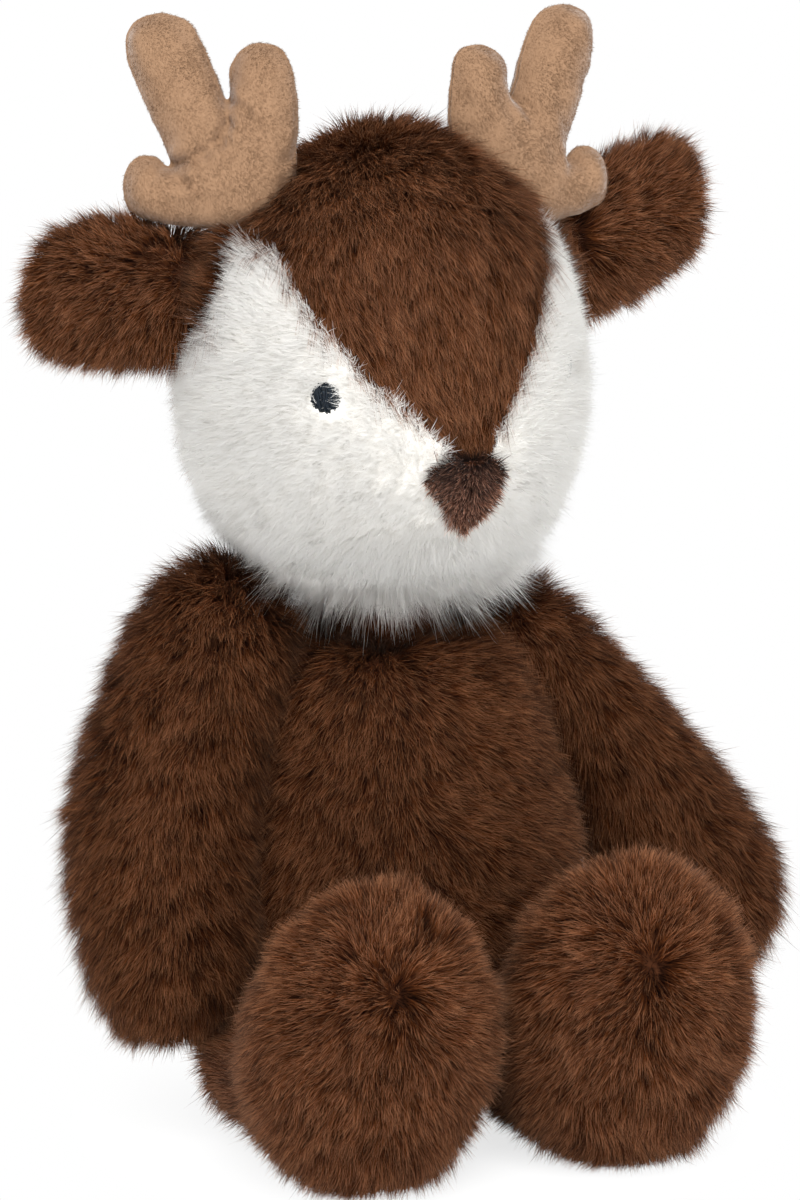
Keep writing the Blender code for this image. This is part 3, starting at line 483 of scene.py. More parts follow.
def strand_mesh(name, points, soft, chart):
    """One mesh of ribbons, three triangles to a strand."""
    count = len(points)
    corners = np.array(((0, 1, 3), (0, 3, 2), (2, 3, 4)))
    faces = (corners[None] + 5 * np.arange(count)[:, None, None]).reshape(-1)
    mesh = bpy.data.meshes.new(name)
    mesh.vertices.add(count * 5)
    mesh.vertices.foreach_set("co", points.reshape(-1).astype(np.float32))
    mesh.loops.add(len(faces))
    mesh.loops.foreach_set("vertex_index", faces.astype(np.int32))
    mesh.polygons.add(count * 3)
    mesh.polygons.foreach_set("loop_start", np.arange(0, len(faces), 3, dtype=np.int32))
    strand_map = mesh.uv_layers.new(name="OFBake")
    strand_map.data.foreach_set("uv", chart.reshape(-1, 2)[faces].reshape(-1).astype(np.float32))
    mesh.update(calc_edges=True)
    mesh.shade_smooth()
    mesh.normals_split_custom_set_from_vertices(soft.reshape(-1, 3).astype(np.float32))
    return mesh


def pile(name, tufts, seed, material, body, slot, **how):
    """The pile of one panel, in as many pieces as its strands need."""
    points, soft, chart = strands_of(tufts, seed, **how)
    points[:, :, 2] = np.maximum(points[:, :, 2], FLOOR_CLEARANCE)
    parts = math.ceil(len(points) / PILE_PIECE_STRANDS)
    for index, chosen in enumerate(np.array_split(np.arange(len(points)), parts)):
        piece_name = f"{name}_{index + 1}" if parts > 1 else name
        mesh = strand_mesh(piece_name, points[chosen], soft[chosen], chart[chosen])
        dressed(piece_name, mesh, material, body)


def colour_ramp(nodes, *stops):
    ramp = nodes.new("ShaderNodeValToRGB")
    while len(ramp.color_ramp.elements) > 1:
        ramp.color_ramp.elements.remove(ramp.color_ramp.elements[-1])
    for index, (place, colour) in enumerate(stops):
        elements = ramp.color_ramp.elements
        stop = elements[0] if index == 0 else elements.new(place)
        stop.position = place
        stop.color = colour
    return ramp


def pile_material(name, root, middle, tip, end, dark, light, gloss=0.1, see_through=0.5, sheen=0.0):
    """Pile fibres: painted shade darkens the root and painted rim light makes the tip paler, each strand
    in a shade of its own.
    """
    material = bpy.data.materials.new(name)
    material.use_nodes = True
    nodes, links = material.node_tree.nodes, material.node_tree.links
    shader = nodes["Principled BSDF"]
    shader.inputs["Roughness"].default_value = 0.6
    shader.inputs["Specular IOR Level"].default_value = gloss
    shader.inputs["Sheen Weight"].default_value = sheen
    shader.inputs["Sheen Roughness"].default_value = 0.5
    shader.inputs["Sheen Tint"].default_value = SHEEN_TINT
    glow = nodes.new("ShaderNodeBsdfTranslucent")
    fibre = nodes.new("ShaderNodeMixShader")
    fibre.inputs[0].default_value = see_through
    chart = nodes.new("ShaderNodeUVMap")
    chart.uv_map = "OFBake"
    parts = nodes.new("ShaderNodeSeparateXYZ")
    height = colour_ramp(nodes, *zip(PILE_BANDS, (root, middle, middle, tip, end)))
    shade = colour_ramp(nodes, (0.0, dark), (0.5, (1, 1, 1, 1)), (1.0, light))
    both = nodes.new("ShaderNodeMix")
    both.data_type = "RGBA"
    both.blend_type = "MULTIPLY"
    both.inputs["Factor"].default_value = 1
    links.new(chart.outputs["UV"], parts.inputs[0])
    links.new(parts.outputs["Y"], height.inputs["Fac"])
    links.new(parts.outputs["X"], shade.inputs["Fac"])
    links.new(height.outputs["Color"], both.inputs["A"])
    links.new(shade.outputs["Color"], both.inputs["B"])
    links.new(both.outputs["Result"], shader.inputs["Base Color"])
    links.new(both.outputs["Result"], glow.inputs["Color"])
    links.new(shader.outputs[0], fibre.inputs[1])
    links.new(glow.outputs[0], fibre.inputs[2])
    links.new(fibre.outputs[0], nodes["Material Output"].inputs["Surface"])
    return material


def cloth_material(name, low, high, grain, relief, roughness=0.95, sheen=0.0, stretch=1.0):
    """Cloth with a fine mottled grain that also stands up from it a little."""
    material = bpy.data.materials.new(name)
    material.use_nodes = True
    nodes, links = material.node_tree.nodes, material.node_tree.links
    shader = nodes["Principled BSDF"]
    shader.inputs["Roughness"].default_value = roughness
    shader.inputs["Specular IOR Level"].default_value = 0.1
    shader.inputs["Sheen Weight"].default_value = sheen
    shader.inputs["Sheen Roughness"].default_value = 0.4
    place = nodes.new("ShaderNodeTexCoord")
    mottle = nodes.new("ShaderNodeTexNoise")
    mottle.inputs["Scale"].default_value = grain
    mottle.inputs["Detail"].default_value = 3
    tone = colour_ramp(nodes, (0.32, low), (0.68, high))
    bump = nodes.new("ShaderNodeBump")
    bump.inputs["Strength"].default_value = 0.7
    bump.inputs["Distance"].default_value = relief
    scale = nodes.new("ShaderNodeMapping")
    scale.inputs["Scale"].default_value = (1, 1, stretch)
    links.new(place.outputs["Object"], scale.inputs["Vector"])
    links.new(scale.outputs["Vector"], mottle.inputs["Vector"])
    links.new(mottle.outputs["Fac"], tone.inputs["Fac"])
    links.new(tone.outputs["Color"], shader.inputs["Base Color"])
    links.new(mottle.outputs["Fac"], bump.inputs["Height"])
    links.new(bump.outputs["Normal"], shader.inputs["Normal"])
    return material


def torso_flow(place, normal):
    """Down, and to each side of a parting on the chest, most of all to the deer's left."""
    turned = np.tanh((place[:, :1] - PARTING_PLACE) / PARTING_WIDTH)
    return DOWN + SIDEWAYS * np.where(turned > 0, 1.5, 0.5) * turned


def brown_pile_material(name, middle, tip, end):
    return pile_material(name, BROWN_ROOT, middle, tip, end, DARK_STRAND, LIGHT_STRAND,
                         BROWN_GLOSS, sheen=BROWN_SHEEN)


# Painted shade: the torso and arms get a darker copy of the same brown pile.
painted_shade_body_pile = brown_pile_material("painted_shade_body_pile", SHADED_BODY_MIDDLE, SHADED_BODY_TIP, SHADED_BODY_END)
brown_backing = cloth_material(
    "brown_backing", BACKING_DARK, BACKING_LIGHT, BACKING_GRAIN, BACKING_RELIEF
)

torso_surface = stuffed_cloth("torso_cloth", TORSO_NODES, at_body_seam)
backing("torso_cloth", torso_surface, CLOTH_DEPTH, brown_backing, "torso",
        TORSO_NODES)
pile("torso_pile", combed_tufts(torso_surface, torso_flow, TORSO_PILE_LENGTH, TORSO_PILE_STAND, 11),
     11, painted_shade_body_pile, "torso", "brown_plush")


# Arms: two plush tubes sewn on at the shoulders, thin there and fuller at the forearm and paw.
# They are the torso's cloth, filled tight, and combed from the shoulder down and outwards.
ARM_PILE_LENGTH = 0.0105
ARM_PILE_STAND = 0.78
PAW_HEIGHT = 0.024
SHOULDER_HEIGHT = 0.022
SHOULDER_LIFT = 0.002
ARM_INNER_SIDE = 0.050
ARM_THICKNESS = 0.030
ARM_BENDS = {
    "left": ((0.020, 0.050, 0.080, 0.100, 0.115, 0.128),
             (0.0025, 0.0040, 0.0016, -0.0005, -0.0036, -0.0055)),
    "right": ((0.057, 0.078, 0.095, 0.118, 0.132, 0.141, 0.152),
              (0.0005, -0.0012, -0.0030, -0.0032, 0.0002, 0.0018, 0.0042)),
}
ARM_COMB = (0.25, -0.15, 0)
PAW_FAN = 0.6
PAW_STAND = 0.12
SHOULDER_STAND = 0.06
LEFT_PAW_SHARE = 0.3


def make_arm(side, sign, seed, paw_share):
    body = f"arm_{side}"
    nodes = [f"{body}_{part}" for part in ("outer_panel", "inner_panel", "stuffing")]
    surface = stuffed_cloth(f"{body}_cloth", nodes, no_seam)
    points = surface[0]
    lowest, highest = points[:, 2].min(), points[:, 2].max()

    def shoulder(place):
        return np.clip((place[:, 2] - highest + SHOULDER_HEIGHT) / SHOULDER_HEIGHT, 0, 1)

    outer = np.clip((points[:, 0] * sign - ARM_INNER_SIDE) / ARM_THICKNESS, 0, 1)
    bend = np.interp(points[:, 2], *ARM_BENDS[side])
    points[:, 0] += bend * np.where(bend * sign > 0, outer, 1)
    points[:, 2] += SHOULDER_LIFT * shoulder(points)

    def paw(place):
        return np.clip((lowest + PAW_HEIGHT - place[:, 2]) / PAW_HEIGHT, 0, 1)

    def flow(place, normal):
        comb = np.array(ARM_COMB) * (sign, 1, 1)
        return DOWN + comb + unit(normal * (1, 1, 0)) * paw(place)[:, None] * PAW_FAN

    def stand(place):
        return ARM_PILE_STAND + PAW_STAND * paw(place) + SHOULDER_STAND * shoulder(place)

    def length(place):
        return ARM_PILE_LENGTH * (1 + paw_share * paw(place))

    backing(f"{body}_cloth", surface, CLOTH_DEPTH, brown_backing, body, nodes)
    pile(f"{body}_pile", combed_tufts(surface, flow, length, stand, seed),
         seed, painted_shade_body_pile, body, "brown_plush")


make_arm("left", 1, 22, LEFT_PAW_SHARE)
make_arm("right", -1, 23, 0)


# Legs: short plush tubes that end in big upright feet, flat only where they stand.
# Each sole's pile fans out to the rim, and the shin's runs back to the body.
LEG_PILE_LENGTH = 0.0095
LEG_PILE_STAND = 0.80
SOLE_MIDDLE = np.array((0.034, -0.102, 0.050))
SOLE_RADIUS = 0.020
HEEL_HEIGHT = 0.025
THIGH_MIDDLE = -0.034
THIGH_REACH = 0.020
THIGH_FULLNESS = 0.012
THIGH_INNER_SIDE = 0.038
THIGH_THICKNESS = 0.020
SOLE_BACK = -0.060
SOLE_DEPTH = 0.03
HEEL_SHARE = 0.3
# The feet's pile: the same brown cloth, painted paler than the body's as light falling on the feet.
LIT_FOOT_MIDDLE = (0.068, 0.0176, 0.0041, 1)
LIT_FOOT_TIP = (0.225, 0.090, 0.039, 1)
LIT_FOOT_END = (0.36, 0.175, 0.092, 1)
BACKWARD = np.array((0.0, 1.0, 0.0))

# Painted light: a paler copy of the brown pile for the legs and feet.
painted_light_foot_pile = brown_pile_material("painted_light_foot_pile", LIT_FOOT_MIDDLE, LIT_FOOT_TIP, LIT_FOOT_END)


def make_leg(side, sign, seed):
    body = f"leg_{side}"
    nodes = [f"{body}_{part}" for part in ("outer_panel", "inner_panel", "stuffing")]
    surface = stuffed_cloth(f"{body}_cloth", nodes, lambda places: places[:, 2] < SEAM_HOLD)
    middle = SOLE_MIDDLE * (sign, 1, 1)
    thigh = np.exp(-(((surface[0][:, 1] - THIGH_MIDDLE) / THIGH_REACH) ** 2))
    outer = np.clip((surface[0][:, 0] * sign - THIGH_INNER_SIDE) / THIGH_THICKNESS, 0, 1)
    surface[0][:, 0] += sign * THIGH_FULLNESS * thigh * outer

    def flow(place, normal):
        flat = (place - middle) * (1, 0, 1)
        out = flat / np.maximum(np.linalg.norm(flat, axis=1, keepdims=True), SOLE_RADIUS)
        sole = np.clip((SOLE_BACK - place[:, 1]) / SOLE_DEPTH, 0, 1)[:, None]
        return out * (0.35 + sole) + DOWN * 0.45 * sole + BACKWARD * 0.9 * (1.1 - sole)

    def length(place):
        return LEG_PILE_LENGTH * (1 + HEEL_SHARE * np.clip(1 - place[:, 2] / HEEL_HEIGHT, 0, 1))

    backing(f"{body}_cloth", surface, CLOTH_DEPTH, brown_backing, body, nodes)
    pile(f"{body}_pile", combed_tufts(surface, flow, length, LEG_PILE_STAND, seed, swirl=0.45),
         seed, painted_light_foot_pile, body, "brown_plush")


make_leg("left", 1, 32)
make_leg("right", -1, 33)


# Head: an egg with a low muzzle, sewn from a brown crown that narrows to the nose, two white cheeks
# that meet under the nose and the chin, and a brown back. The crown's pile is combed to the nose. The
# white is cropped thick, shorn round the eyes and left long in a loose fringe along the jaw.
HEAD_NODES = ("crown_panel", "cheek_panel_left", "cheek_panel_right", "head_back_panel",
              "head_stuffing")
CROWN_EDGE_RISES = (0.150, 0.179, 0.184, 0.1925, 0.2015, 0.210, 0.218, 0.226, 0.234)
CROWN_EDGE_HALF_WIDTHS = (-0.010, 0.0062, 0.0082, 0.0150, 0.0235, 0.0290, 0.0332, 0.0365, 0.090)
BLAZE_MIDDLES = (0.0008, 0.0008, 0.0010, -0.0004, -0.0020, -0.0020, -0.0018, -0.001, 0.0)
EAR_PATCH_MIDDLE = np.array((0.0475, 0.008, 0.2125))
EAR_PATCH_RADIUS = 0.0165
HEAD_TURN_SHIFT = 0.0028
HEAD_HALF_WIDTH = 0.049
NOSE_TOP = np.array((0.0, -0.062, 0.176))
EYE_PLACES = np.array(((0.0362, -0.0362, 0.1941), (-0.0318, -0.0418, 0.1941)))
EYE_CLEARINGS = (0.0040, 0.0047)
EYE_SLOPE = 0.0015
CLEARING_SHIFTS = np.array(((0.0,), (0.0012,)))
SHORN_PLACES = EYE_PLACES + CLEARING_SHIFTS * unit(NOSE_TOP - EYE_PLACES)
CROWN_PILE_LENGTH = 0.0112
CROWN_NOSE_CLEAR = 0.004
CROWN_NOSE_FADE = 0.030
CROWN_TOP_RISE = 0.215
CROWN_TOP_REACH = 0.035
BY_ANTLER_SIDE = 0.026
BY_ANTLER_REACH = 0.012
BY_ANTLER_RISE = 0.228
BLAZE_LAP = 0.0025
MOUTH_SEAM_WIDTH = 0.0016
CHEEK_PILE_LENGTH = 0.0048
CHEEK_PILE_DEPTH = 0.0014
CHEEK_CLOTH_DEPTH = 0.0009
CHEEK_PILE_STAND = 0.87
CHEEK_BOTTOM = 0.137
JAW_PILE_LENGTH = 0.0090
JAW_PILE_STAND = 0.84
FRINGE_LENGTH = 0.0135
FRINGE_STAND = 0.93
FRINGE_BOTTOM = 0.1385
FRINGE_RISE = 0.156
FRINGE_FADE = 0.011
FRINGE_TOP = 0.160
FRINGE_FULL = 0.145
JAW_LIFT = 0.0050
JAW_HEIGHT = 0.156
JAW_REACH = 0.020
HEAD_BACK_PILE_LENGTH = 0.0080
ANTLER_ROOT_PILE_LENGTH = 0.0125
ANTLER_ROOT_OUT = 0.048
ANTLER_ROOT_REACH = 0.010
ANTLER_ROOT_RISE = 0.205
BROWN_MIDDLE = (0.066, 0.0182, 0.0044, 1)
BROWN_TIP = (0.218, 0.089, 0.039, 1)
BROWN_END = (0.33, 0.160, 0.086, 1)
WHITE_ROOT = (0.93, 0.915, 0.885, 1)
WHITE_MIDDLE = (0.95, 0.94, 0.915, 1)
WHITE_TIP = (0.97, 0.965, 0.95, 1)
WHITE_SHADED = (0.90, 0.895, 0.885, 1)
WHITE_LIT = (1.02, 1.02, 1.02, 1)
# The white backing is painted darker than the pile, as shade on the cloth seen between the strands.
WHITE_BACKING_DARK = (0.76, 0.74, 0.705, 1)
WHITE_BACKING_LIGHT = (0.83, 0.81, 0.775, 1)


def beyond_blaze(place):
    """How far outside the blaze's edge a place lies, below 0 on the blaze."""
    edge = np.interp(place[:, 2], CROWN_EDGE_RISES, CROWN_EDGE_HALF_WIDTHS)
    middle = np.interp(place[:, 2], CROWN_EDGE_RISES, BLAZE_MIDDLES)
    return np.abs(place[:, 0] - middle) - edge - 0.0006 * wave_noise(place, 0.008, 404)


def in_crown(place):
    on_left = place * np.where(place[:, :1] < 0, (-1, 1, 1), 1)
    by_ear = distance(on_left, EAR_PATCH_MIDDLE) < EAR_PATCH_RADIUS
    return ((beyond_blaze(place) < 0) | by_ear) & (place[:, 1] < BODY_SEAM_BACK)


def in_back(place):
    return place[:, 1] >= BODY_SEAM_BACK


def in_cheeks(place):
    return ~in_crown(place) & ~in_back(place)


def by_antler(place):
    """0 on the blaze and 1 at the sides of the crown, where its pile fills in round the antlers."""
    side = np.clip((np.abs(place[:, 0]) - BY_ANTLER_SIDE) / BY_ANTLER_REACH, 0, 1)
    return side * (place[:, 2] > BY_ANTLER_RISE)


def crown_flow(place, normal):
    side = by_antler(place)[:, None]
    outward = np.sign(place[:, :1]) * SIDEWAYS - DOWN * 0.5
    return (unit(NOSE_TOP - place) + DOWN * 0.25 + place * (4, 0, 0)) * (1 - side) + outward * side


def crown_length(place):
    near_nose = np.clip((distance(place, NOSE_TOP) - CROWN_NOSE_CLEAR) / CROWN_NOSE_FADE, 0, 1)
    return CROWN_PILE_LENGTH * (0.55 + 0.45 * near_nose - 0.15 * by_antler(place))


def crown_stand(place):
    top = (place[:, 2] - CROWN_TOP_RISE) / CROWN_TOP_REACH
    return 0.40 + 0.34 * np.clip(top + 0.6 * by_antler(place), 0, 1)


def cheek_flow(place, normal):
    """Combed away from the nose, out at the jaw, and over the edge of the blaze beside it."""
    lap = np.exp(-np.clip(beyond_blaze(place), 0, 1) / BLAZE_LAP)[:, None]
    over = np.sign(place[:, :1]) * -SIDEWAYS - DOWN * 0.4
    away = unit(place - NOSE_TOP + (0, 0, 0.012)) + DOWN * 0.45
    hanging = unit(normal * (1, 1, 0) + (0, -0.05, 0)) + DOWN * 0.8
    jaw = at_jaw(place)[:, None]
    return (away + over * lap) * (1 - jaw) + hanging * jaw


def at_jaw(place):
    """0 on the cheeks, 1 at the rim of the jaw, where the white pile is left long."""
    return np.clip((FRINGE_TOP - place[:, 2]) / (FRINGE_TOP - FRINGE_FULL), 0, 1)


def cheek_length(place):
    """Short beside the nose and round the eyes, parted on the seam under the nose, long at the jaw."""
    long = 0.85 + 0.15 * np.clip((distance(place, NOSE_TOP - (0, 0, 0.006)) - 0.010) / 0.020, 0, 1)
    for eye, clearing in zip(SHORN_PLACES, EYE_CLEARINGS):
        long *= 0.85 + 0.15 * np.clip((distance(place, eye) - clearing) / EYE_SLOPE, 0, 1)
    long *= 1 - 0.20 * np.exp(-((place[:, 0] / MOUTH_SEAM_WIDTH) ** 2))
    return CHEEK_PILE_LENGTH * long * (1 - at_jaw(place)) + JAW_PILE_LENGTH * at_jaw(place)


def white_tone(place):
    """A little darker towards the rim of the jaw."""
    return -0.04 * at_jaw(place)


def cheek_stand(place):
    return CHEEK_PILE_STAND * (1 - at_jaw(place)) + JAW_PILE_STAND * at_jaw(place)


def clear_of_eyes(place):
    away = [distance(place, eye) - clearing for eye, clearing in zip(SHORN_PLACES, EYE_CLEARINGS)]
    return np.min(away, axis=0) > 0


def cheek_pile_region(place):
    return in_cheeks(place) & clear_of_eyes(place) & (place[:, 2] > CHEEK_BOTTOM)


def on_jaw(place):
    return in_cheeks(place) & (place[:, 2] < FRINGE_RISE) & (place[:, 2] > FRINGE_BOTTOM)


def fringe_length(place):
    return FRINGE_LENGTH * np.clip((FRINGE_RISE - place[:, 2]) / FRINGE_FADE, 0.35, 1)


def fringe_flow(place, normal):
    return unit(normal * (1, 1, 0) + (0, -0.05, 0)) + DOWN * 0.1


def by_antler_root(place):
    away = np.hypot(np.abs(place[:, 0]) - ANTLER_ROOT_OUT, place[:, 1])
    return (away < ANTLER_ROOT_REACH) & (place[:, 2] > ANTLER_ROOT_RISE)


def antler_root_flow(place, normal):
    return -DOWN * 0.4 + np.sign(place[:, :1]) * SIDEWAYS


def back_flow(place, normal):
    return DOWN + unit(normal * (1, 1, 0)) * 0.15


brown_pile = brown_pile_material("brown_pile", BROWN_MIDDLE, BROWN_TIP, BROWN_END)
white_pile = pile_material(
    "white_pile", WHITE_ROOT, WHITE_MIDDLE, WHITE_TIP, WHITE_TIP, WHITE_SHADED, WHITE_LIT,
    see_through=0.6,
)
white_backing = cloth_material(
    "white_backing", WHITE_BACKING_DARK, WHITE_BACKING_LIGHT, BACKING_GRAIN, BACKING_RELIEF
)

head_surface = stuffed_cloth("head_cloth", HEAD_NODES, at_body_seam, cell=0.0036)
head_surface[0][:, 2] += JAW_LIFT * np.clip((JAW_HEIGHT - head_surface[0][:, 2]) / JAW_REACH, 0, 1)
head_surface[0][:, 0] -= HEAD_TURN_SHIFT * (np.abs(head_surface[0][:, 0]) / HEAD_HALF_WIDTH) ** 1.5
backing("crown_cloth", head_surface, CLOTH_DEPTH, brown_backing, "head",
        ("crown_panel", "head_stuffing"), in_crown)
backing("cheek_cloth", head_surface, CHEEK_CLOTH_DEPTH, white_backing, "head",
        ("cheek_panel_left", "cheek_panel_right"), in_cheeks)
backing("head_back_cloth", head_surface, CLOTH_DEPTH, brown_backing, "head",
        ("head_back_panel",), in_back)
pile("crown_pile",
     combed_tufts(head_surface, crown_flow, crown_length, crown_stand, 41, keep=in_crown,
                  swirl=0.14, density=1.2),
     41, brown_pile, "head", "brown_plush")
pile("cheek_pile",
     combed_tufts(head_surface, cheek_flow, cheek_length, cheek_stand, 42,
                  keep=cheek_pile_region, swirl=0.3, density=1.7, depth=CHEEK_PILE_DEPTH, rough=0.05),
     42, white_pile, "head", "white_plush",
     radius=0.0014, width=0.00014, gather=0.2, fan=0.0, roll=0.5, mottle=0.1, stray=0.0012,
     tone=white_tone)
pile("jaw_fringe",
     combed_tufts(head_surface, fringe_flow, fringe_length, FRINGE_STAND, 44, keep=on_jaw,
                  swirl=0.7, density=0.8, depth=CHEEK_PILE_DEPTH, rough=0.22),
     44, white_pile, "head", "white_plush",
     radius=0.0013, width=0.00013, gather=0.6, fan=0.0, roll=0.5, mottle=0.1, stray=0.0014)
pile("antler_root_pile",
     combed_tufts(head_surface, antler_root_flow, ANTLER_ROOT_PILE_LENGTH, 0.93, 45,
                  keep=by_antler_root, swirl=0.8, density=1.3),
     45, brown_pile, "head", "brown_plush")
pile("head_back_pile",
     combed_tufts(head_surface, back_flow, HEAD_BACK_PILE_LENGTH, 0.78, 43, keep=in_back),
     43, brown_pile, "head", "brown_plush")


# Ears: two flat plush leaves that stand out from the head, furred on both faces.
# Their pile runs from the root to the rim and on past it.
EAR_PILE_LENGTH = 0.0084
EAR_HALF_HEIGHT = 0.020
EAR_TOP_LIFTS = {"left": 0.0015, "right": 0.0035}
EAR_FOOT_LIFTS = {"left": 0.0020, "right": 0.0032}
EAR_SHIFTS = {"left": -0.0004, "right": 0.0022}
EAR_SLANTS = {"left": 0.0035, "right": 0.0}
EAR_PILE_DEPTH = 0.0034
EAR_ROOT = np.array((0.046, 0.008, 0.2075))
EAR_MIDDLE = np.array((0.066, 0.012, 0.211))
EAR_ROOT_REACH = 0.010
EAR_ROOT_PILE_SHARE = 0.35


def make_ear(side, sign, seed):
    body = f"ear_{side}"
    nodes = [f"{body}_{part}" for part in ("front_panel", "back_panel")]
    surface = stuffed_cloth(f"{body}_cloth", nodes, no_seam,
                            cell=0.0028, rounds=4, travel=FILLING_TRAVEL / 2)
    root, middle = EAR_ROOT * (sign, 1, 1), EAR_MIDDLE * (sign, 1, 1)
    rise = np.clip((surface[0][:, 2] - middle[2]) / EAR_HALF_HEIGHT, -1, 1)
    surface[0][:, 2] += np.where(rise > 0, EAR_TOP_LIFTS[side], -EAR_FOOT_LIFTS[side]) * rise
    outer = np.clip((surface[0][:, 0] * sign - EAR_ROOT[0]) / (EAR_MIDDLE[0] - EAR_ROOT[0]), 0, 1)
    surface[0][:, 0] += (EAR_SHIFTS[side] + sign * EAR_SLANTS[side] * rise) * outer

    def at_root(place):
        return np.clip(1 - (np.abs(place[:, 0]) - EAR_ROOT[0]) / EAR_ROOT_REACH, 0, 1)

    def flow(place, normal):
        near = at_root(place)[:, None]
        upper = DOWN * (middle[2] - place[:, 2:]) / EAR_HALF_HEIGHT
        steady = np.array((0, -0.2, -0.5)) + np.array((-0.5 * sign, -0.2, 0.2)) * near
        return unit(place - root) * (1 - 1.7 * near) + steady + upper * 0.6

    def length(place):
        return EAR_PILE_LENGTH * (1 + EAR_ROOT_PILE_SHARE * at_root(place))

    backing(f"{body}_cloth", surface, EAR_PILE_DEPTH - 0.0005, brown_backing, body,
            nodes)
    pile(f"{body}_pile",
         combed_tufts(surface, flow, length, 0.80, seed, depth=EAR_PILE_DEPTH),
         seed, brown_pile, body, "brown_plush")


make_ear("left", 1, 52)
make_ear("right", -1, 53)


# Antlers: two flat velour shapes each, sewn edge to edge, turned and filled tight, so the cloth
# swells between the seam that runs round every prong and puckers where the prongs part.
ANTLER_ROOTS = {"left": (0.040, -0.003, 0.2215), "right": (-0.040, 0.0, 0.227)}
ANTLER_TURNS = {"left": 1, "right": 0}
ANTLER_RISE_SHARES = {"left": 1.01, "right": 1.0}
ANTLER_SHIFTS = {"left": -0.0058, "right": 0.0012}
ANTLER_LEAN = 13
ANTLER_YAWS = {"left": 11, "right": 26}
ANTLER_OUTLINE_MM = (
    (27.0, 9.2), (26.6, 14.4), (23.4, 18.0), (19.0, 18.5), (15.6, 16.2), (16.6, 21.0),
    (21.2, 30.0), (24.9, 38.0), (27.1, 43.6), (27.1, 48.8), (24.0, 52.8), (17.8, 54.2),
    (11.8, 52.2), (8.0, 47.5), (5.0, 41.0), (2.4, 34.8), (1.2, 33.0), (0.7, 36.0),
    (0.9, 41.0), (-1.8, 45.3), (-7.0, 47.2), (-12.2, 45.8), (-14.9, 41.0), (-16.3, 34.0),
    (-16.9, 27.0), (-16.6, 20.0), (-16.2, 12.0), (-13.6, 5.6), (-8.0, 1.5), (-1.0, 0.2),
    (10.0, 0.8), (19.5, 2.0), (25.4, 4.8),
)
ANTLER_CELL = 0.0007
ANTLER_HALF_THICKNESS = 0.0074
ANTLER_SWELL_REACH = 0.0088
ANTLER_SEAM_WIDTH = 0.0005
ANTLER_SEAM_DEPTH = 0.0008
ANTLER_TRAVEL = 0.0006
ANTLER_FOLDS_MM = {
    "left": (((1.4, 32.8), (3.2, 27.5), 2.0, 1.6), ((15.6, 16.6), (13.2, 12.6), 1.6, 1.4)),
    "right": (
        ((1.4, 32.8), (0.4, 27.6), 2.6, 1.6), ((0.4, 27.6), (2.3, 22.8), 1.7, 1.7),
        ((2.3, 22.8), (6.8, 19.4), 1.4, 1.8), ((12.0, 17.0), (6.8, 19.4), 1.6, 1.7),
        ((15.4, 16.4), (12.0, 17.0), 2.6, 1.6), ((15.2, 16.0), (11.0, 11.6), 2.0, 1.4),
        ((0.8, 32.8), (-4.6, 29.6), 2.2, 1.3), ((-16.2, 19.0), (-12.4, 17.0), 1.2, 1.4),
        ((17.0, 17.0), (19.5, 12.6), 1.2, 1.2),
    ),
}
SWELL_ROUNDS = 17
FOLD_FADE = 0.0015
NAP_LENGTH = 0.0011
NAP_STAND = 0.60
NAP_DEPTH = 0.0004
VELOUR_DARK = (0.19, 0.110, 0.062, 1)
VELOUR_LIGHT = (0.225, 0.133, 0.077, 1)
VELOUR_GRAIN = 2000
VELOUR_RELIEF = 0.0002
# The nap's pale end is painted rim light, as on the pile.
NAP_ROOT = (0.215, 0.125, 0.070, 1)
NAP_MIDDLE = (0.235, 0.140, 0.080, 1)
NAP_TIP = (0.285, 0.175, 0.105, 1)
NAP_END = (0.34, 0.215, 0.135, 1)
NAP_SHADED = (0.70, 0.68, 0.66, 1)
NAP_LIT = (1.16, 1.17, 1.18, 1)


def antler_axes(side, sign):
    """Outward, backward and upward on an antler, which leans back and is turned outwards."""
    turn = Matrix.Rotation(math.radians(ANTLER_YAWS[side]), 3, "Z") @ Matrix.Rotation(
        math.radians(-ANTLER_LEAN), 3, "X"
    )
    mirror = Vector((sign, 1, 1))
    return [np.array((turn @ Vector(axis)) * mirror) for axis in ((1, 0, 0), (0, 1, 0), (0, 0, 1))]


def antler_outline():
    """The cut edge as a smooth closed run of points, one to each cell."""
    knots = np.array(ANTLER_OUTLINE_MM) / 1000
    before, after, later = (np.roll(knots, -step, axis=0) for step in (-1, 1, 2))
    t = np.linspace(0, 1, 24, endpoint=False)[None, :, None]
    a, b, c, d = (part[:, None] for part in (before, knots, after, later))
    fine = 0.5 * (2 * b + (c - a) * t + (2 * a - 5 * b + 4 * c - d) * t**2
                  + (3 * b - a - 3 * c + d) * t**3)
    fine = fine.reshape(-1, 2)
    steps = np.linalg.norm(np.roll(fine, -1, axis=0) - fine, axis=1)
    run = np.concatenate(((0,), np.cumsum(steps)))
    wanted = np.linspace(0, run[-1], int(run[-1] / ANTLER_CELL), endpoint=False)
    closed = np.vstack((fine, fine[:1]))
    return np.stack([np.interp(wanted, run, closed[:, axis]) for axis in (0, 1)], axis=1)


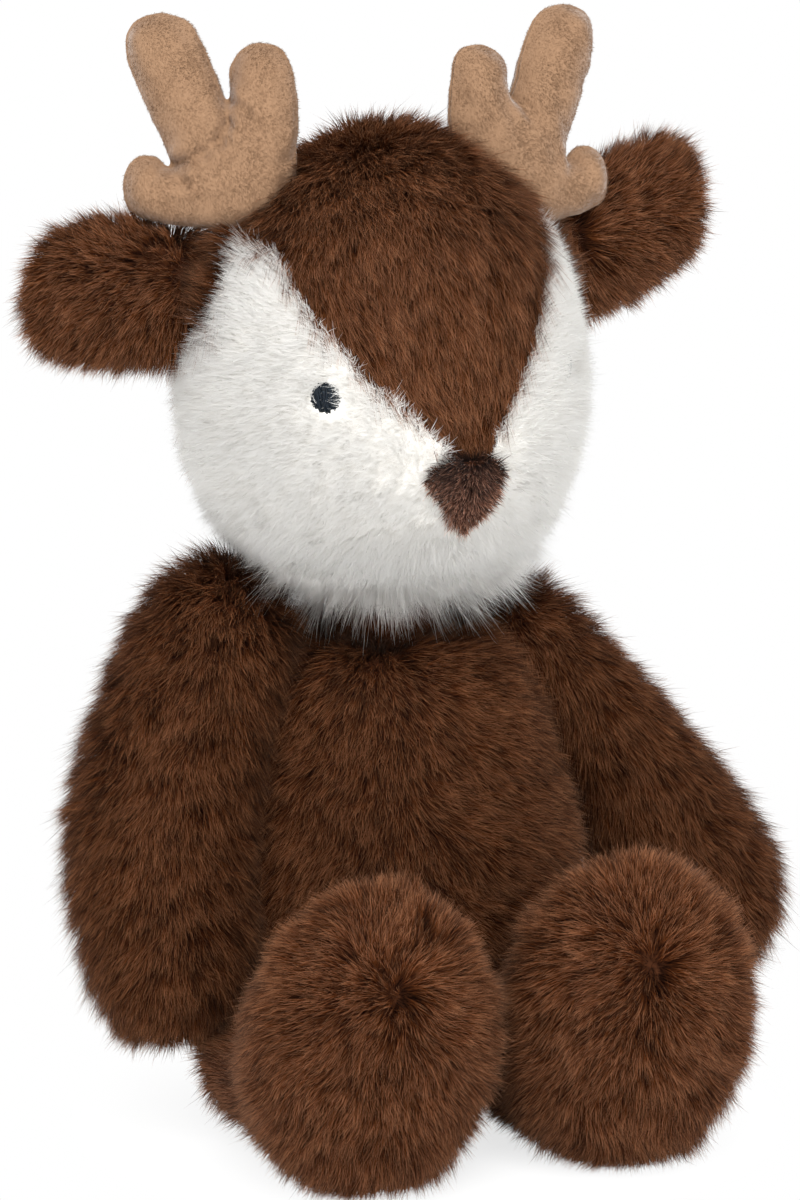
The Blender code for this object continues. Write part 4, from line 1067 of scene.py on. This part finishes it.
def flat_sheet(outline):
    """The cut velour: points of the outline, then points within it, and the triangles."""
    low, high = outline.min(axis=0), outline.max(axis=0)
    across = np.arange(low[0], high[0], ANTLER_CELL)
    rows = np.arange(low[1], high[1], ANTLER_CELL * 0.87)
    grid = np.array([(x + ANTLER_CELL / 2 * (index % 2), y)
                     for index, y in enumerate(rows) for x in across])
    away = np.linalg.norm(grid[:, None] - outline[None], axis=2).min(axis=1)
    following = np.roll(outline, -1, axis=0)
    crosses = (outline[None, :, 1] > grid[:, None, 1]) != (following[None, :, 1] > grid[:, None, 1])
    rise = following[:, 1] - outline[:, 1]
    slope = (following[:, 0] - outline[:, 0]) / np.where(rise == 0, 1, rise)
    meets = outline[:, 0] + slope * (grid[:, None, 1] - outline[:, 1])
    inside = (crosses & (grid[:, None, 0] < meets)).sum(axis=1) % 2 == 1
    grid = grid[inside & (away > ANTLER_CELL * 0.55)]
    places = np.vstack((outline, grid))
    count = len(outline)
    edges = [(index, (index + 1) % count) for index in range(count)]
    found = delaunay_2d_cdt([Vector(place) for place in places], edges, [], 1, ANTLER_CELL / 100)
    return places, np.array([face for face in found[2] if len(face) == 3])


def fold_depth(place, start, end, depth, width):
    """How far the cloth is drawn in along a fold, and pushed up beside it."""
    start, end = np.array(start) / 1000, np.array(end) / 1000
    here, way = place - start, end - start
    along = np.clip(here @ way / (way @ way), 0, 1)
    away = np.linalg.norm(here - along[:, None] * way, axis=1) * 1000 / width
    strength = depth / 1000 * (1 - 0.35 * along)
    return strength * (np.exp(-(away**2)) - 0.30 * np.exp(-((away - 2) ** 2)))


def swelling(place, outline, faces, folds):
    """Half the thickness of the filled antler at each point of its flat cloth."""
    away = np.linalg.norm(place[:, None] - outline[None], axis=2).min(axis=1)
    share = np.clip(away / ANTLER_SWELL_REACH, 0, 1)
    height = ANTLER_HALF_THICKNESS * np.sqrt(1 - (1 - share) ** 2)
    edges = np.vstack((faces[:, (0, 1)], faces[:, (1, 2)], faces[:, (2, 0)]))
    for turn in range(SWELL_ROUNDS + 1):
        if turn == SWELL_ROUNDS:
            for fold in folds:
                height -= fold_depth(place, *fold) * np.clip(away / FOLD_FADE, 0.2, 1)
        total, met = np.zeros(len(place)), np.zeros(len(place))
        for here, there in ((0, 1), (1, 0)):
            np.add.at(total, edges[:, here], height[edges[:, there]])
            np.add.at(met, edges[:, here], 1)
        height[len(outline):] = (total / np.maximum(met, 1))[len(outline):]
    height = np.maximum(height, ANTLER_SEAM_WIDTH)
    height[:len(outline)] = ANTLER_SEAM_WIDTH
    return height


def antler_skin(name, side, sign):
    """Both velour faces, swollen by the filling, and the sunk seam between them."""
    outline = antler_outline()
    place, faces = flat_sheet(outline)
    height = swelling(place, outline, faces, ANTLER_FOLDS_MM[side])
    count, rim = len(place), len(outline)
    edge_way = np.roll(outline, -1, axis=0) - np.roll(outline, 1, axis=0)
    inward = unit(np.stack((-edge_way[:, 1], edge_way[:, 0]), axis=1))
    seam = outline + inward * ANTLER_SEAM_DEPTH
    turn = math.radians(ANTLER_TURNS[side])
    flat = np.vstack((place, place, seam)) * (1, ANTLER_RISE_SHARES[side])
    out = flat[:, 0] * math.cos(turn) + flat[:, 1] * math.sin(turn)
    up = flat[:, 1] * math.cos(turn) - flat[:, 0] * math.sin(turn)
    out += ANTLER_SHIFTS[side]
    thick = np.concatenate((-height, height, np.zeros(rim)))
    outward, backward, upward = antler_axes(side, sign)
    points = np.array(ANTLER_ROOTS[side]) + np.outer(out, outward)
    points += np.outer(thick, backward) + np.outer(up, upward)
    here = np.arange(rim)
    after = (here + 1) % rim
    middle = 2 * count
    strips = [np.stack((here + layer, after + layer, after + middle, here + middle), axis=1)
              for layer in (0, count)]
    shape = bmesh.new()
    corners = [shape.verts.new(point) for point in points]
    for face in [*faces.tolist(), *(faces + count).tolist(), *strips[0].tolist(), *strips[1].tolist()]:
        shape.faces.new([corners[index] for index in face])
    loose = [vertex for vertex in shape.verts if not vertex.link_faces]
    bmesh.ops.delete(shape, geom=loose, context="VERTS")
    bmesh.ops.recalc_face_normals(shape, faces=shape.faces)
    mesh = bpy.data.meshes.new(name)
    shape.to_mesh(mesh)
    shape.free()
    return mesh


def make_antler(side, sign, seed):
    body = f"antler_{side}"
    nodes = [f"{body}_{part}" for part in ("front_panel", "back_panel", "stuffing")]
    root, backward = np.array(ANTLER_ROOTS[side]), antler_axes(side, sign)[1]

    def at_seam(places):
        return np.abs((places - root) @ backward) < ANTLER_SEAM_WIDTH * 1.5

    skin = antler_skin(f"{body}_cloth", side, sign)
    blown_out(skin, at_seam, ANTLER_TRAVEL)
    points, corners, normals = subdivided(skin)
    bpy.data.meshes.remove(skin)
    points -= normals * (0.0002 * wave_noise(points, 0.009, seed))[:, None]
    surface = (points, corners, normals)
    backing(f"{body}_velour", surface, 0, velour, body, nodes)
    axes = antler_axes(side, sign)

    def tone(place):
        """Painted shade down in the folds and a painted highlight on the rolled edges beside the seam;
        darker along the seam line itself.
        """
        out, thick, up = ((place - root) @ axis for axis in axes)
        turn = math.radians(ANTLER_TURNS[side])
        out = out - ANTLER_SHIFTS[side]
        flat = np.stack((out * math.cos(turn) - up * math.sin(turn),
                         out * math.sin(turn) + up * math.cos(turn)), axis=1)
        flat = flat / (1, ANTLER_RISE_SHARES[side])
        folded = sum(fold_depth(flat, *fold) for fold in ANTLER_FOLDS_MM[side]) * 1000
        edge = np.exp(-(((np.abs(thick) - 0.0014) / 0.0007) ** 2))
        seam = np.exp(-((thick / 0.0004) ** 2))
        return 0.45 * edge - 0.22 * np.clip(folded, 0, 2) - 0.35 * seam

    pile(f"{body}_nap",
         combed_tufts(surface, lambda place, normal: DOWN * 0.5 + SIDEWAYS + 0 * place,
                      NAP_LENGTH, NAP_STAND, seed, density=9, depth=NAP_DEPTH, swirl=0.5),
         seed, velour_nap, body, "tan_velour",
         strands=1, radius=0.0, width=0.00013, stray=0.0001, droop=0.0, fan=0.0, mottle=0.12,
         tone=tone)


velour = cloth_material(
    "tan_velour_cloth", VELOUR_DARK, VELOUR_LIGHT, VELOUR_GRAIN, VELOUR_RELIEF,
    roughness=0.85, sheen=0.4, stretch=0.45,
)
velour_nap = pile_material(
    "tan_velour_nap", NAP_ROOT, NAP_MIDDLE, NAP_TIP, NAP_END, NAP_SHADED, NAP_LIT, sheen=0.3
)
make_antler("left", 1, 62)
make_antler("right", -1, 63)


# Neck: the firm plug of stuffing that the head is gathered on, in the torso's cloth. The head's and
# the chest's pile hide it.
NECK_CELL = 0.003
NECK_TRAVEL = 0.0003
NECK_CLOTH_DEPTH = 0.0006

neck_surface = stuffed_cloth("neck_cloth", ("neck_plug",), no_seam, cell=NECK_CELL, travel=NECK_TRAVEL)
backing("neck_cloth", neck_surface, NECK_CLOTH_DEPTH, brown_backing, "neck",
        ("neck_plug",))


# Nose: a pointed patch of short brown pile, sewn on under the crown's tip, which hangs over its
# top edge. The nap is thick and a little shiny, with painted shade under the blaze and painted
# light towards its point.
NOSE_NAP_LENGTH = 0.0036
NOSE_NAP_DEPTH = 0.0006
NOSE_SHIFT = (-0.0010, 0.0, 0.0016)
NOSE_MIDDLE_RISE = 0.170
NOSE_HALF_HEIGHT = 0.009
NOSE_CELL = 0.0008
NOSE_TRAVEL = 0.0003
NOSE_GLOSS = 0.2
NOSE_ROOT = (0.012, 0.0042, 0.0024, 1)
NOSE_MIDDLE = (0.060, 0.0215, 0.0115, 1)
NOSE_TIP = (0.250, 0.120, 0.075, 1)
NOSE_END = (0.50, 0.30, 0.22, 1)
NOSE_LIT = (2.4, 2.5, 2.6, 1)

nose_nap = pile_material(
    "nose_nap", NOSE_ROOT, NOSE_MIDDLE, NOSE_TIP, NOSE_END, DARK_STRAND, NOSE_LIT, NOSE_GLOSS
)


def nose_flow(place, normal):
    return DOWN + unit((place - NOSE_TOP + (0, 0, 0.008)) * (1, 0, 1)) * 0.7


def nose_painted_shade_and_light(place):
    """Painted shade under the overhanging blaze, painted light paler towards the tip."""
    return 0.40 * np.clip((NOSE_MIDDLE_RISE - place[:, 2]) / NOSE_HALF_HEIGHT, -1, 1)


nose_surface = stuffed_cloth("nose_cloth", ("nose_patch",), no_seam, cell=NOSE_CELL, rounds=3,
                             travel=NOSE_TRAVEL)
nose_surface[0][:] += NOSE_SHIFT
backing("nose_cloth", nose_surface, NOSE_NAP_DEPTH / 2, brown_backing, "head",
        ("nose_patch",))
pile("nose_nap",
     combed_tufts(nose_surface, nose_flow, NOSE_NAP_LENGTH, 0.78, 71, density=14,
                  depth=NOSE_NAP_DEPTH, rough=0.2),
     71, nose_nap, "head", "nose_pile",
     strands=1, radius=0.0, width=0.00022, stray=0.0006, droop=0.0, tone=nose_painted_shade_and_light)


# Eyes: blue-black thread, stitched to and fro over a small pad in two layers that cross.
# The white pile is shorn round them, so they lie a little sunk in it.
EYE_RADIUS = 0.0039
EYE_DOME = 0.0015
EYE_DEPTHS = {"left": 0.0030, "right": 0.0012}
HEAD_MIDDLE = Vector((0, -0.003, 0.190))
THREAD_RADIUS = 0.00027
THREAD_DARK = (0.0012, 0.0022, 0.0040, 1)
THREAD_LIGHT = (0.010, 0.017, 0.026, 1)
STITCH_LAYERS = ((25, 15), (100, 12))
STITCH_WANDER = 0.00012
STITCH_TURN = 6
STITCH_STEPS = 8
THREAD_SIDES = 6


def thread_material():
    material = bpy.data.materials.new("eye_thread_cotton")
    material.use_nodes = True
    nodes, links = material.node_tree.nodes, material.node_tree.links
    shader = nodes["Principled BSDF"]
    shader.inputs["Roughness"].default_value = 0.5
    shader.inputs["Specular IOR Level"].default_value = 0.15
    place = nodes.new("ShaderNodeTexCoord")
    strands = nodes.new("ShaderNodeTexNoise")
    strands.inputs["Scale"].default_value = 2200
    tone = colour_ramp(nodes, (0.3, THREAD_DARK), (0.8, THREAD_LIGHT))
    bump = nodes.new("ShaderNodeBump")
    bump.inputs["Strength"].default_value = 0.5
    bump.inputs["Distance"].default_value = 0.0002
    links.new(place.outputs["Object"], strands.inputs["Vector"])
    links.new(strands.outputs["Fac"], tone.inputs["Fac"])
    links.new(tone.outputs["Color"], shader.inputs["Base Color"])
    links.new(strands.outputs["Fac"], bump.inputs["Height"])
    links.new(bump.outputs["Normal"], shader.inputs["Normal"])
    return material


def stitch(shape, facing, start, end, lift):
    """One stitch over the dome from one rim point to another, as a tube."""
    rings = []
    for step in range(STITCH_STEPS + 1):
        flat = start.lerp(end, step / STITCH_STEPS)
        rim = min(1, flat.length / EYE_RADIUS)
        place = Vector((flat.x, flat.y, (EYE_DOME + lift) * math.sqrt(1 - 0.85 * rim**2)))
        way = (end - start).normalized()
        across = Vector((-way.y, way.x, 0))
        ring = []
        for side in range(THREAD_SIDES):
            angle = 2 * math.pi * side / THREAD_SIDES
            spot = place + across * (THREAD_RADIUS * math.cos(angle))
            spot.z += THREAD_RADIUS * math.sin(angle)
            ring.append(shape.verts.new(facing @ spot))
        rings.append(ring)
    for ring, following in zip(rings, rings[1:]):
        for side in range(THREAD_SIDES):
            after = (side + 1) % THREAD_SIDES
            shape.faces.new((ring[side], ring[after], following[after], following[side]))
    shape.faces.new(reversed(rings[0]))
    shape.faces.new(rings[-1])


def make_eye(side, place, seed):
    draw = np.random.default_rng(seed)
    outward = (Vector(place) - HEAD_MIDDLE).normalized()
    facing = Matrix.Translation(Vector(place) - outward * EYE_DEPTHS[side]) @ outward.to_track_quat(
        "Z", "Y"
    ).to_matrix().to_4x4()
    shape = bmesh.new()
    for layer, (heading, count) in enumerate(STITCH_LAYERS):
        for index in range(count):
            offset = ((index + 0.5) / count * 2 - 1) * EYE_RADIUS * 0.96
            offset += draw.normal() * STITCH_WANDER
            half = math.sqrt(max(0, EYE_RADIUS**2 - offset**2)) * draw.uniform(0.88, 1.06)
            turn = Matrix.Rotation(math.radians(heading + draw.normal() * STITCH_TURN), 3, "Z")
            start = turn @ Vector((-half, offset, 0))
            end = turn @ Vector((half, offset, 0))
            stitch(shape, facing, start, end, layer * THREAD_RADIUS * 1.3 + draw.uniform(0, 0.0001))
    mesh = bpy.data.meshes.new(f"eye_{side}_stitches")
    shape.to_mesh(mesh)
    shape.free()
    mesh.shade_smooth()
    piece = dressed(f"eye_{side}_stitches", mesh, eye_thread, "head")
    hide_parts(f"eye_{side}")


eye_thread = thread_material()
make_eye("left", EYE_PLACES[0], 91)
make_eye("right", EYE_PLACES[1], 92)


# Tail: a small flat tuft of two leaves, brown on top and white below, sewn on at the back of the
# seat with its pile combed to the tip.
TAIL_NODES = ("tail_top_panel", "tail_under_panel")
TAIL_ROOT = np.array((0.0, 0.033, 0.036))
TAIL_SLOPE = 0.75
TAIL_PILE_LENGTH = 0.0070
TAIL_PILE_DEPTH = 0.0028


def tail_flow(place, normal):
    return BACKWARD + DOWN * -0.4 + 0 * place


def tail_top(place):
    return place[:, 2] - TAIL_ROOT[2] > (place[:, 1] - TAIL_ROOT[1]) * TAIL_SLOPE


def tail_under(place):
    return ~tail_top(place)


tail_surface = stuffed_cloth("tail_cloth", TAIL_NODES, no_seam, cell=0.002, rounds=3,
                             travel=FILLING_TRAVEL / 2)
backing("tail_cloth", tail_surface, TAIL_PILE_DEPTH - 0.0004, brown_backing, "tail",
        TAIL_NODES)
pile("tail_top_pile",
     combed_tufts(tail_surface, tail_flow, TAIL_PILE_LENGTH, 0.7, 81, density=1.2,
                  keep=tail_top, depth=TAIL_PILE_DEPTH),
     81, brown_pile, "tail", "brown_plush")
pile("tail_under_pile",
     combed_tufts(tail_surface, tail_flow, TAIL_PILE_LENGTH, 0.7, 82, density=1.2,
                  keep=tail_under, depth=TAIL_PILE_DEPTH),
     82, white_pile, "tail", "white_plush", fan=0.0)
